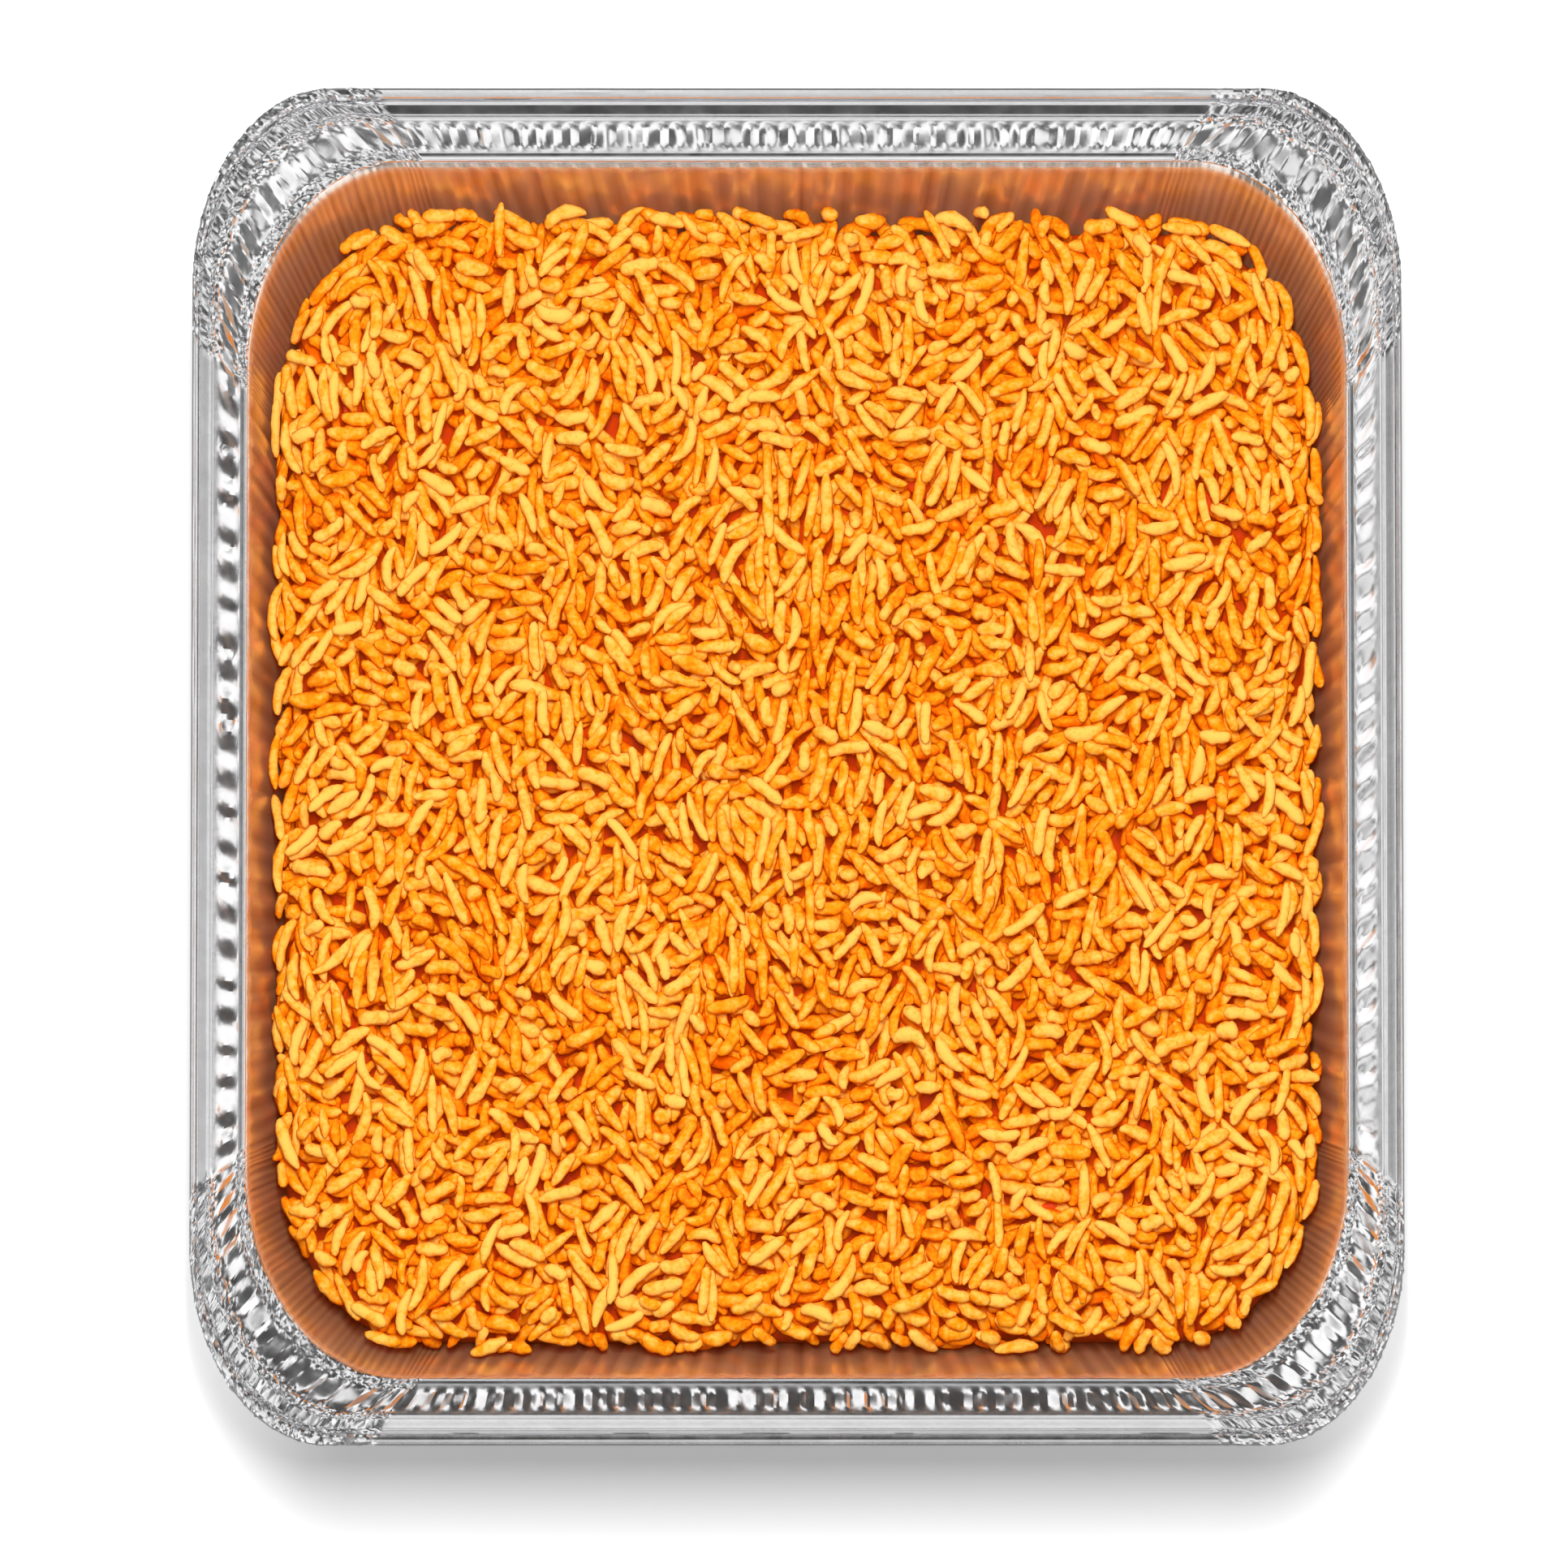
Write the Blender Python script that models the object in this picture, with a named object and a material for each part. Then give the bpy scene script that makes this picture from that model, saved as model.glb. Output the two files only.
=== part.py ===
"""A pressed foil tray full of orange rice.

The tray is one solid: a fluted sheet with a rolled bead, a flange, a sloping fluted collar, a
stacking ledge, a drafted fluted wall and a flat base. The rice is one solid that fills the tray,
with grain-sized ridges over its uneven top. Metres, +Z up, origin under the middle of the base.
"""

import math
import random

import bmesh
import bpy
from mathutils import Vector, geometry

MM = 0.001

# Driving sizes of the tray, over the rim and over the height
RIM_WIDTH = 235 * MM
RIM_LENGTH = 267 * MM
TRAY_HEIGHT = 60 * MM
SHEET = 0.6 * MM

# Corner radii as (across the width, along the length), at the rim's edge and at the ledge's inner edge
RIM_CORNER = (27 * MM, 39.5 * MM)
LEDGE_CORNER = (30 * MM, 41 * MM)
BASE_CORNER = (22 * MM, 31 * MM)

# The profile from the bead inwards: inset from the rim's edge at the long sides and at the ends,
# and the depth under the rim's top
BEAD_RADIUS = 1.1 * MM
BEAD_INSET_END = 1.4 * MM
GROOVE_INSET = (2.4 * MM, 3.1 * MM)
GROOVE_DEPTH = 1.2 * MM
SHOULDER_INSET = (5.0 * MM, 6.2 * MM)
SHOULDER_DEPTH = 1.3 * MM
COLLAR_INSET = (9.0 * MM, 11.3 * MM)
COLLAR_DEPTH = 5.6 * MM
LEDGE_INSET = (10.8 * MM, 13.8 * MM)
LEDGE_DEPTH = 5.9 * MM
WALL_DRAFT = (0.30, 0.46)
BASE_FILLET = 5.0 * MM
# The fillet's lower end and middle: how far in and how far up, as shares of BASE_FILLET
FILLET_FOOT_IN = 0.75
FILLET_MIDDLE_IN = 0.22
FILLET_MIDDLE_UP = 0.3

# Columns of the tray's mesh: every second one stands proud, which makes the flutes
STRAIGHT_SIDE_COLUMNS = 32
STRAIGHT_END_COLUMNS = 24
CORNER_COLUMNS = 14
COLLAR_FLUTE = 0.45 * MM
WALL_FLUTE = 0.50 * MM

# The rice
RICE_GAP = 0.35 * MM
RICE_EDGE_HEIGHT = 41.0 * MM
RICE_MIDDLE_HEIGHT = 48.6 * MM
RICE_SHOULDER = 15 * MM
RICE_FOOT_SHARE = 0.965
# Slow swells over the heap: radians a metre across and along, the phase, and the height
RICE_SWELLS = (
    (61, 12, 1.1, 0.5 * MM),
    (-23, 55, 2.0, 0.5 * MM),
    (110, -87, 0.3, 0.42 * MM),
    (170, 130, 4.0, 0.34 * MM),
)

# The grain-sized ridges, and how close they lie, as shares of a grain's width
GRAIN_LENGTH = 9.0 * MM
GRAIN_WIDTH = 3.0 * MM
GRAIN_RELIEF = 1.1 * MM
GRAIN_COUNT = 640
GRAIN_TRIES = 30000
EDGE_CLEARANCE = 0.8
VALLEY_BESIDE = 0.62
VALLEY_PAST_END = 0.55
VALLEY_SPACING = 0.66
VALLEY_CLEARANCE = 0.5
CELL = 1.2
DICE_COUNT = 9
DICE_SIZE = 4.6 * MM
DICE_SPREAD = 0.37
DICE_CLEARANCE = 0.4
SEED = 20

FOIL_COLOUR = (0.80, 0.80, 0.81, 1)
RICE_COLOUR = (0.93, 0.36, 0.03, 1)


def new_material(name, colour, roughness, metallic):
    """A plain Principled material for one sub-part."""
    material = bpy.data.materials.new(name)
    material.use_nodes = True
    shader = material.node_tree.nodes["Principled BSDF"]
    shader.inputs["Base Color"].default_value = colour
    shader.inputs["Roughness"].default_value = roughness
    shader.inputs["Metallic"].default_value = metallic
    return material


def new_object(name, mesh_builder, material, sharp_angle):
    """One named object from a bmesh, with its faces pointing outwards."""
    bmesh.ops.recalc_face_normals(mesh_builder, faces=mesh_builder.faces)
    mesh = bpy.data.meshes.new(name)
    mesh_builder.to_mesh(mesh)
    mesh_builder.free()
    mesh.materials.append(material)
    mesh.shade_smooth()
    mesh.set_sharp_from_angle(angle=math.radians(sharp_angle))
    made = bpy.data.objects.new(name, mesh)
    bpy.context.scene.collection.objects.link(made)
    return made


def rounded_outline(half_x, half_y, radius_x, radius_y):
    """Points round a rectangle with elliptical corners, each with its outward direction.

    Every outline has the same columns, so two outlines can be joined column by column.
    """
    points = []
    centre_x, centre_y = half_x - radius_x, half_y - radius_y
    straights = (
        (0, STRAIGHT_SIDE_COLUMNS),
        (90, STRAIGHT_END_COLUMNS),
        (180, STRAIGHT_SIDE_COLUMNS),
        (270, STRAIGHT_END_COLUMNS),
    )
    for angle, count in straights:
        turn = math.radians(angle)
        across = Vector((math.cos(turn), math.sin(turn)))
        along = Vector((-across.y, across.x))
        reach = abs(across.x) * half_x + abs(across.y) * half_y
        straight = abs(along.x) * centre_x + abs(along.y) * centre_y
        for step in range(count):
            place = across * reach + along * straight * (2 * step / count - 1)
            points.append((place, across.copy()))
        corner = Vector((centre_x * (across + along).x, centre_y * (across + along).y))
        for step in range(CORNER_COLUMNS):
            bend = turn + math.radians(90) * step / CORNER_COLUMNS
            place = corner + Vector((radius_x * math.cos(bend), radius_y * math.sin(bend)))
            outward = Vector((math.cos(bend) / radius_x, math.sin(bend) / radius_y)).normalized()
            points.append((place, outward))
    return points


def corner_at(share, outer, inner):
    """Corner radii between two rings, at a share of the way from the outer to the inner."""
    return tuple(a + (b - a) * share for a, b in zip(outer, inner))


def ring(inset, height, corner, flute=0.0):
    """A closed outline of the tray at a height; flute pushes every second column in and out."""
    outline = rounded_outline(RIM_WIDTH / 2 - inset[0], RIM_LENGTH / 2 - inset[1], *corner)
    points = []
    for index, (place, outward) in enumerate(outline):
        shifted = place + outward * (flute if index % 2 else -flute)
        points.append((shifted.x, shifted.y, height))
    return points


def skin(builder, rings):
    """Joins closed rings of points one to the next with quads; returns their vertices."""
    loops = [[builder.verts.new(point) for point in points] for points in rings]
    for lower, upper in zip(loops, loops[1:]):
        count = len(lower)
        for index in range(count):
            after = (index + 1) % count
            builder.faces.new((lower[index], lower[after], upper[after], upper[index]))
    return loops


def wall_inset(depth):
    """Inset of the wall's inner face at a depth under the rim."""
    return tuple(start + draft * (depth - LEDGE_DEPTH) for start, draft in zip(LEDGE_INSET, WALL_DRAFT))


def tray_rings():
    """The tray's cross-section as rings: inside from the base up to the bead, then back outside."""
    top = TRAY_HEIGHT
    middle_corner = corner_at(0.5, RIM_CORNER, LEDGE_CORNER)
    collar_corner = corner_at(0.9, RIM_CORNER, LEDGE_CORNER)
    fillet_top = wall_inset(TRAY_HEIGHT - SHEET - BASE_FILLET)
    base = tuple(inset + FILLET_FOOT_IN * BASE_FILLET for inset in fillet_top)
    fillet_middle = tuple(inset + FILLET_MIDDLE_IN * BASE_FILLET for inset in fillet_top)
    bead = (BEAD_RADIUS, BEAD_INSET_END)
    bead_middle = top - BEAD_RADIUS
    diagonal = math.sqrt(0.5)
    bead_side = tuple(inset * (1 - diagonal) for inset in bead)

    def out(inset, share=1.0):
        return tuple(value - SHEET * share for value in inset)

    inside = [
        ring(base, SHEET, BASE_CORNER),
        ring(fillet_middle, SHEET + FILLET_MIDDLE_UP * BASE_FILLET, BASE_CORNER, WALL_FLUTE * 0.5),
        ring(fillet_top, SHEET + BASE_FILLET, BASE_CORNER, WALL_FLUTE),
        ring(LEDGE_INSET, top - LEDGE_DEPTH - SHEET, LEDGE_CORNER, WALL_FLUTE * 0.5),
        ring(LEDGE_INSET, top - LEDGE_DEPTH, LEDGE_CORNER),
        ring(COLLAR_INSET, top - COLLAR_DEPTH, collar_corner, COLLAR_FLUTE),
        ring(SHOULDER_INSET, top - SHOULDER_DEPTH, middle_corner, COLLAR_FLUTE),
        ring(GROOVE_INSET, top - GROOVE_DEPTH, RIM_CORNER),
        ring(bead, top, RIM_CORNER),
    ]
    edge = [
        ring(bead_side, bead_middle + diagonal * BEAD_RADIUS, RIM_CORNER),
        ring((0.0, 0.0), bead_middle, RIM_CORNER),
        ring(bead_side, bead_middle - diagonal * BEAD_RADIUS, RIM_CORNER),
        ring(bead, top - 2 * BEAD_RADIUS, RIM_CORNER),
        ring(GROOVE_INSET, top - GROOVE_DEPTH - SHEET, RIM_CORNER),
    ]
    outside = [
        ring(out(SHOULDER_INSET, 0.6), top - SHOULDER_DEPTH - SHEET, middle_corner, COLLAR_FLUTE),
        ring(out(COLLAR_INSET, 0.7), top - COLLAR_DEPTH - 0.8 * SHEET, collar_corner, COLLAR_FLUTE),
        ring(out(LEDGE_INSET), top - LEDGE_DEPTH - 1.6 * SHEET, LEDGE_CORNER, WALL_FLUTE * 0.5),
        ring(out(fillet_top), SHEET + BASE_FILLET, BASE_CORNER, WALL_FLUTE),
        ring(out(fillet_middle), FILLET_MIDDLE_UP * BASE_FILLET, BASE_CORNER, WALL_FLUTE * 0.5),
        ring(base, 0.0, BASE_CORNER),
    ]
    return inside + edge + outside


def build_tray():
    """The pressed foil tray, closed at the base by an inner and an outer floor."""
    builder = bmesh.new()
    loops = skin(builder, tray_rings())
    builder.faces.new(loops[0])
    builder.faces.new(loops[-1])
    foil = new_material("foil", FOIL_COLOUR, 0.25, 1.0)
    return new_object("foil_tray", builder, foil, 35)


def rice_outline(height):
    """The rice's edge at a height: the wall's inner face, less the flutes and a small gap."""
    depth = TRAY_HEIGHT - height
    share = (depth - LEDGE_DEPTH) / (TRAY_HEIGHT - SHEET - BASE_FILLET - LEDGE_DEPTH)
    corner = corner_at(share, LEDGE_CORNER, BASE_CORNER)
    clear = WALL_FLUTE + RICE_GAP
    inset = tuple(value + clear for value in wall_inset(depth))
    return ring(inset, height, corner)


def edge_distance(place):
    """Roughly how far a point of the plan lies inside the rice's edge at its top."""
    inset = wall_inset(TRAY_HEIGHT - RICE_EDGE_HEIGHT)
    half_x = RIM_WIDTH / 2 - inset[0]
    half_y = RIM_LENGTH / 2 - inset[1]
    radius = 0.5 * (LEDGE_CORNER[0] + LEDGE_CORNER[1])
    past_x = abs(place.x) - (half_x - radius)
    past_y = abs(place.y) - (half_y - radius)
    if past_x > 0 and past_y > 0:
        return radius - math.hypot(past_x, past_y)
    return radius - max(past_x, past_y)


def rice_height(place):
    """Height of the heap: a rounded shoulder at the wall and slow swells over the middle."""
    share = min(1.0, max(0.0, edge_distance(place) / RICE_SHOULDER))
    rise = 1 - (1 - share) ** 2
    swell = sum(
        height * math.sin(across * place.x + along * place.y + phase)
        for across, along, phase, height in RICE_SWELLS
    )
    return RICE_EDGE_HEIGHT + (RICE_MIDDLE_HEIGHT - RICE_EDGE_HEIGHT) * rise + swell * share


class Spacing:
    """Points of the plan in square cells, to ask quickly whether a place is still free."""

    def __init__(self, cell):
        self.cell = cell
        self.points = {}

    def key(self, place):
        return int(place.x // self.cell), int(place.y // self.cell)

    def add(self, place):
        self.points.setdefault(self.key(place), []).append(place)

    def free(self, place, distance):
        column, row = self.key(place)
        near = (
            other
            for i in (column - 1, column, column + 1)
            for j in (row - 1, row, row + 1)
            for other in self.points.get((i, j), ())
        )
        return all((other - place).length >= distance for other in near)


def scatter_grains(draw):
    """Grain-sized ridges lying every way over the plan, none across another, as pairs of end points."""
    taken = Spacing(GRAIN_WIDTH * CELL)
    edge_clear = GRAIN_WIDTH * EDGE_CLEARANCE
    grains = []
    for _ in range(GRAIN_TRIES):
        if len(grains) == GRAIN_COUNT:
            break
        centre = Vector((draw.uniform(-0.5, 0.5) * RIM_WIDTH, draw.uniform(-0.5, 0.5) * RIM_LENGTH))
        yaw = draw.uniform(0, math.pi)
        half = 0.5 * (GRAIN_LENGTH - GRAIN_WIDTH) * draw.uniform(0.75, 1.1)
        reach = Vector((math.cos(yaw), math.sin(yaw))) * half
        along = [centre + reach * step for step in (-1, -0.5, 0, 0.5, 1)]
        if min(edge_distance(place) for place in along) < edge_clear:
            continue
        if not all(taken.free(place, GRAIN_WIDTH) for place in along):
            continue
        for place in along:
            taken.add(place)
        grains.append((along[0], along[-1]))
    return grains, taken


def scatter_valleys(grains, taken):
    """Low points between the ridges: beside each grain's middle and past both its ends."""
    valleys = Spacing(GRAIN_WIDTH * CELL)
    places = []
    for start, end in grains:
        centre = (start + end) / 2
        along = (end - start).normalized()
        side = Vector((-along.y, along.x))
        half = (end - start).length / 2
        beside = side * VALLEY_BESIDE * GRAIN_WIDTH
        past_end = along * (half + VALLEY_PAST_END * GRAIN_WIDTH)
        clear = VALLEY_CLEARANCE * GRAIN_WIDTH
        for place in (centre + beside, centre - beside, centre + past_end, centre - past_end):
            if edge_distance(place) < clear:
                continue
            if taken.free(place, clear) and valleys.free(place, VALLEY_SPACING * GRAIN_WIDTH):
                valleys.add(place)
                places.append(place)
    return places


def dice_corners(centre, yaw):
    """The four corners of one soft dice of pepper lying among the grains."""
    turns = (yaw + math.radians(90) * step for step in range(4))
    return [centre + Vector((math.cos(turn), math.sin(turn))) * DICE_SIZE / 2 for turn in turns]


def build_rice():
    """The rice: a core to the tray's base, with grain-sized ridges over its top."""
    draw = random.Random(SEED)
    dice_space = []
    for _ in range(DICE_COUNT):
        across, along = draw.uniform(-DICE_SPREAD, DICE_SPREAD), draw.uniform(-DICE_SPREAD, DICE_SPREAD)
        centre = Vector((across * RIM_WIDTH, along * RIM_LENGTH))
        dice_space.append(dice_corners(centre, draw.uniform(0, math.pi)))
    grains, taken = scatter_grains(draw)
    valleys = scatter_valleys(grains, taken)

    edge = [Vector(point[:2]) for point in rice_outline(RICE_EDGE_HEIGHT)]
    plan, heights, ridges = list(edge), [], []
    heights += [rice_height(place) for place in edge]
    for start, end in grains:
        ridges.append((len(plan), len(plan) + 1))
        crown = rice_height((start + end) / 2) + GRAIN_RELIEF * draw.uniform(0.3, 1.1)
        lean = GRAIN_RELIEF * draw.uniform(-0.6, 0.6)
        plan += [start, end]
        heights += [crown + lean, crown - lean]
    for corners in dice_space:
        if all(taken.free(place, DICE_CLEARANCE * GRAIN_WIDTH) for place in corners):
            crown = rice_height(corners[0]) + GRAIN_RELIEF / 2
            plan += corners
            heights += [crown] * len(corners)
    for place in valleys:
        plan.append(place)
        heights.append(rice_height(place) - GRAIN_RELIEF * draw.uniform(0.5, 1.1))

    inside_only = 1
    made = geometry.delaunay_2d_cdt(plan, ridges, [list(range(len(edge)))], inside_only, 1e-7)
    places, triangles, sources = made[0], made[2], made[3]
    builder = bmesh.new()
    top = []
    for place, source in zip(places, sources):
        height = heights[source[0]] if source else rice_height(place)
        top.append(builder.verts.new((place.x, place.y, height)))
    for triangle in triangles:
        builder.faces.new([top[index] for index in triangle])

    edge_loop = [top[next(i for i, s in enumerate(sources) if index in s)] for index in range(len(edge))]
    floor = SHEET + RICE_GAP
    foot = rice_outline(SHEET + BASE_FILLET + RICE_GAP)
    lower_rings = [foot, [(x * RICE_FOOT_SHARE, y * RICE_FOOT_SHARE, floor) for x, y, _ in foot]]
    loops = skin(builder, lower_rings)
    count = len(edge_loop)
    for index in range(count):
        after = (index + 1) % count
        quad = (edge_loop[index], edge_loop[after], loops[0][after], loops[0][index])
        builder.faces.new(quad)
    builder.faces.new(loops[-1])
    bmesh.ops.triangulate(builder, faces=builder.faces)
    rice = new_material("orange_rice", RICE_COLOUR, 0.45, 0.0)
    return new_object("rice", builder, rice, 30)


def main():
    """Clears the scene and builds the tray with its rice."""
    for old in list(bpy.data.objects):
        bpy.data.objects.remove(old)
    build_tray()
    build_rice()


main()
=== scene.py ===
"""The looks of a pressed foil tray full of orange rice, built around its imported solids.

The tray is modelled as fluted and crimped foil, and the rice as several thousand grains that are
dropped one after another onto a core, each coming to rest on what lies under it. Sizes are in
millimetres up to the point where a mesh is made, but for the stage, which is in metres.
"""

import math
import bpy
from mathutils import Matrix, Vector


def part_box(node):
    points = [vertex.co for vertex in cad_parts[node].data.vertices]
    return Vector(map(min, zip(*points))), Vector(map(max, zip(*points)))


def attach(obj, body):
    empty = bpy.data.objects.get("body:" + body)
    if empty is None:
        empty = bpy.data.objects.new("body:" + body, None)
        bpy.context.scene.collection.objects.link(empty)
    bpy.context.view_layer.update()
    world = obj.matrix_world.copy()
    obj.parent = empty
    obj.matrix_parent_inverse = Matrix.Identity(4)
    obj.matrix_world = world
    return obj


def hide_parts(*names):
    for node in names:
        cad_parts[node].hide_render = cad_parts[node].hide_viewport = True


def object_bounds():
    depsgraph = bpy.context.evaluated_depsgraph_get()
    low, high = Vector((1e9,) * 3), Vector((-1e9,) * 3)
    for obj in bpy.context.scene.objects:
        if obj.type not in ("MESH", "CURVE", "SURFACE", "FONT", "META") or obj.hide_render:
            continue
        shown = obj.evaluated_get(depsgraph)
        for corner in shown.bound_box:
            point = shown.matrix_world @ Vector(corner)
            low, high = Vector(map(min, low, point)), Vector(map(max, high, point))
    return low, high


bl_info = {
    "name": "Foil tray of rice",
    "version": (1, 0, 0),
    "blender": (4, 5, 0),
    "location": "View3D > Sidebar > Foil Tray",
    "description": "Builds a crimped foil tray and a heap of cooked rice grains",
    "category": "Add Mesh",
}

import bpy
import numpy as np
from bpy.props import FloatProperty, FloatVectorProperty, IntProperty, PointerProperty
from mathutils import Vector

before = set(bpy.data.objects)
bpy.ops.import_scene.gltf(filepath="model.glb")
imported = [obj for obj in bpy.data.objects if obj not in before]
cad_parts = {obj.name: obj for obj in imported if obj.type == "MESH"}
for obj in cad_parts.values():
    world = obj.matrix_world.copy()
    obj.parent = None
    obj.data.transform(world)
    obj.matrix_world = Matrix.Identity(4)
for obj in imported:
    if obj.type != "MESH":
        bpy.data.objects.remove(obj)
CAD_LOW, CAD_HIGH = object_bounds()
TRAY_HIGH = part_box("foil_tray")[1]

MM = 0.001
BODY = "root"
RIM_HEIGHT = TRAY_HIGH.z / MM
HALF_RIM = np.array([TRAY_HIGH.x, TRAY_HIGH.y]) / MM

# Corner radii across the width and along the length
RIM_CORNER = np.array([27.0, 39.5])
LEDGE_CORNER = np.array([30.0, 41.0])
BASE_CORNER = np.array([22.0, 31.0])

# The wall: its inset at the ledge, and how far it leans in for each millimetre of depth
LEDGE_INSET = np.array([10.8, 13.8])
LEDGE_DEPTH = 5.9
WALL_DRAFT = np.array([0.30, 0.46])
BASE_FILLET = 5.0
FILLET_SHAPE = 0.9
FOIL_GAP = 0.3

# How far the fine creases of a corner run on into the straights, and over how much they fade
CRIMP_REACH = 8.0
CRIMP_FADE = 1.5

# Widths of the columns of a sheet: at the ends, along the sides and in the corners
RIM_COLUMNS = (0.60, 1.15, 0.39)
WALL_COLUMNS = (1.0, 1.2, 0.38)
CORE_COLUMNS = (2.0, 2.0, 2.0)

# The collar: its top and how far it drops, the tilts of its facets at the ends, sides and corners
# as shares of the panel's, and their lean
COLLAR_TOP = 1.6
COLLAR_DROP = 3.4
COLLAR_TILTS = np.array([1.0, 0.5, 1.1])
COLLAR_LEAN = 0.5

# The wall's facets: widths and tilts at the ends, sides and corners
WALL_FLUTES = (2.1, 2.6, 0.8)
WALL_TILTS = (0.13, 0.10, 0.20)

# Sizes of the corners' fine creases, each with its weight, and the height of the slow waves
CREASES = ((0.9, 1.0), (0.5, 0.7))
WAVE_HEIGHT = 0.015

# How far in from the ledge the columns go on keeping to one length
STEADY_REACH = 10.0

# The orange layer on the wall's inside, a painted reflection of the rice with the roughness of oil:
# the rows of the wall's path that it covers, the depth over which it starts under the ledge, and the
# share and spread of its stripes of painted shade along the pleats
OIL_AND_REFLECTION_ROWS = 20
OIL_AND_REFLECTION_FADE = 0.8
STRIPE_SHADE_SHARE = 0.35
STRIPE_SHADE_SPREAD = 0.6

# Foil that bends by more degrees than this from one triangle to the next shows a sharp crease
CREASE_ANGLE = 16.0

# The heap, as in its solid: heights, the shoulder at the wall and slow swells, which are radians a
# millimetre across and along, a phase and a height
HEAP_EDGE = 41.0
HEAP_MIDDLE = 48.6
HEAP_SHOULDER = 15.0
HEAP_SWELLS = (
    (0.061, 0.012, 1.1, 0.5),
    (-0.023, 0.055, 2.0, 0.5),
    (0.110, -0.087, 0.3, 0.42),
    (0.170, 0.130, 4.0, 0.34),
)

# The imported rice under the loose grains: its gap to the wall, its foot and the size of its bumps
CORE_GAP = 0.6
CORE_FOOT = 6.0
CORE_BUMP = 0.35

# How grains fall: the places tried for each and the misses that end it, how much more grains lie
# along the tray than across, and the shares that follow the grain below, are broken or are propped
TRIES = 8
MISSES = 800
ALONG_TRAY = 1.25
BUNDLED = 0.35
BROKEN = 0.18
PROPPED = 0.2

# How a grain comes out: how much longer and thinner it is along the tray, the spread of its turn off
# the grain it follows, what a broken one keeps of its length, the ranges of lengths and radii, the
# spread of its bend, and how far a prop tips it
LONGER_ALONG, THINNER_ALONG = 0.15, 0.14
FOLLOW_SPREAD = 0.22
BROKEN_LENGTHS = (0.5, 0.75)
LENGTH_RANGE = (0.84, 1.2)
RADIUS_RANGE = (0.86, 1.14)
BEND_SPREAD = 0.07
PROP_SLOPES = (-1.1, 1.1)

# What a steep grain counts as standing over the target, and how far over a grain may stand
STEEP_COST = 0.25
OVER_ALLOWED = (-0.7, 1.1)

# The share of the most grains that are down when the bits of pepper go in
PEPPER_LEVEL = 0.45

# Loose grains, the most seen first: name of the piece, sides and stations of a grain, most grains
GRAIN_KINDS = (
    ("grains_on_top", 8, 8, 1500),
    ("grains_high", 7, 7, 2000),
    ("grains_between", 6, 6, 2600),
)

# How deep in the heap a grain reaches its deepest painted shade
SHADE_DEPTH = 5.0

# The bits of pepper: half their size each way, the room they need, where they lie, and their seed
PEPPER_SIZE = (2.7, 2.2, 1.1)
PEPPER_ROOM = 2.6
PEPPER_PLACES = ((49.5, -85.6), (-86.7, 73.4), (80.5, 54.1), (-49.1, 89.0), (24.1, 57.6))
PEPPER_SEED = 3

# What foil does to light: roughness, what a film of oil adds to it, how much metal the film hides,
# and the strength of the rolled grain
FOIL_ROUGHNESS = (0.17, 0.25)
FILM_ROUGHNESS = 0.12
FILM_COVER = 0.3
FOIL_GRAIN = 0.06

# A grain's place between its deep and light colours: a start, shares of its height in the heap (painted
# shade, deeper lower down), of its own tone and of its turned-away edge (painted shade), and mottling as
# noise scales with their spreads
TONE_START = 0.15
SHADE_BY_HEIGHT = 0.40
TONE_BY_GRAIN = 0.46
PAINTED_EDGE_SHADE = -0.35
TONE_MOTTLING = ((45, 0.16), (420, 0.3), (1300, 0.2))

# The floor's glow: in the shadow in front of the tray and elsewhere, with the metres to a side and
# along the tray over which one passes into the other
GLOW_SHADOW, GLOW_OPEN = 0.22, 0.65
SHADOW_SIDE = (0.085, 0.125)
SHADOW_FRONT = (-0.112, -0.09)

# The studio overhead: the direction of its dark spot, the spot's rim and its two strengths
SPOT_DIRECTION = (0.04, 0.30, 0.953)
SPOT_RIM = (0.15, 0.38)
SPOT_STRENGTHS = (0.04, 1.0)

# The studio's dark patches over the corners: how many, their edge and strengths, how uneven they
# are, the height up to which they reach, and the height at which the panels give way to them
PATCH_COUNT = 4.0
PATCH_EDGE = (0.45, 0.6)
PATCH_STRENGTHS = (0.09, 1.0)
PATCH_UNEVEN = 0.5
PATCH_TOP = (0.90, 0.94)
PATCH_TOP_UNEVEN = 0.06
PANEL_TOP = (0.66, 0.74)

# The studio low down: cosines of the bearing as turns, phase and weight, the weight of the slope
# towards the back, how uneven the panels are, and their two strengths
PANEL_WAVES = ((2.0, 0.6, 0.35), (7.0, 0.0, 0.85))
PANEL_SLOPE = -0.35
PANEL_UNEVEN = 0.6
PANEL_STRENGTHS = (0.055, 1.15)

# The plain light that matt things get from the studio, and what it gains towards the back
SOFT_LIGHT = 0.30
SOFT_SLOPE = 0.16

# The stage, in metres: what the camera aims at, the floor, and the lamp's place and sizes
AIM = (-0.0025, -0.00405)
FLOOR_REACH, FLOOR_DEPTH, FLOOR_DROP = 3.0, 0.02, 0.0002
LAMP_PLACE = (0.0, 0.05, 2.0)
LAMP_SIZES = (0.15, 0.75)


def size_setting(name, description, default, low):
    """A number that the panel shows, with the least it may be."""
    return FloatProperty(name=name, description=description, default=default, min=low)


def colour_setting(name, description, default):
    """A colour that the panel shows."""
    return FloatVectorProperty(name=name, description=description, subtype="COLOR", size=3, default=default)


def length_setting(name, description, default):
    """A length of the stage, in metres, that the panel shows."""
    kind = {"subtype": "DISTANCE", "unit": "LENGTH"}
    return FloatProperty(name=name, description=description, default=default, **kind)


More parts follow.
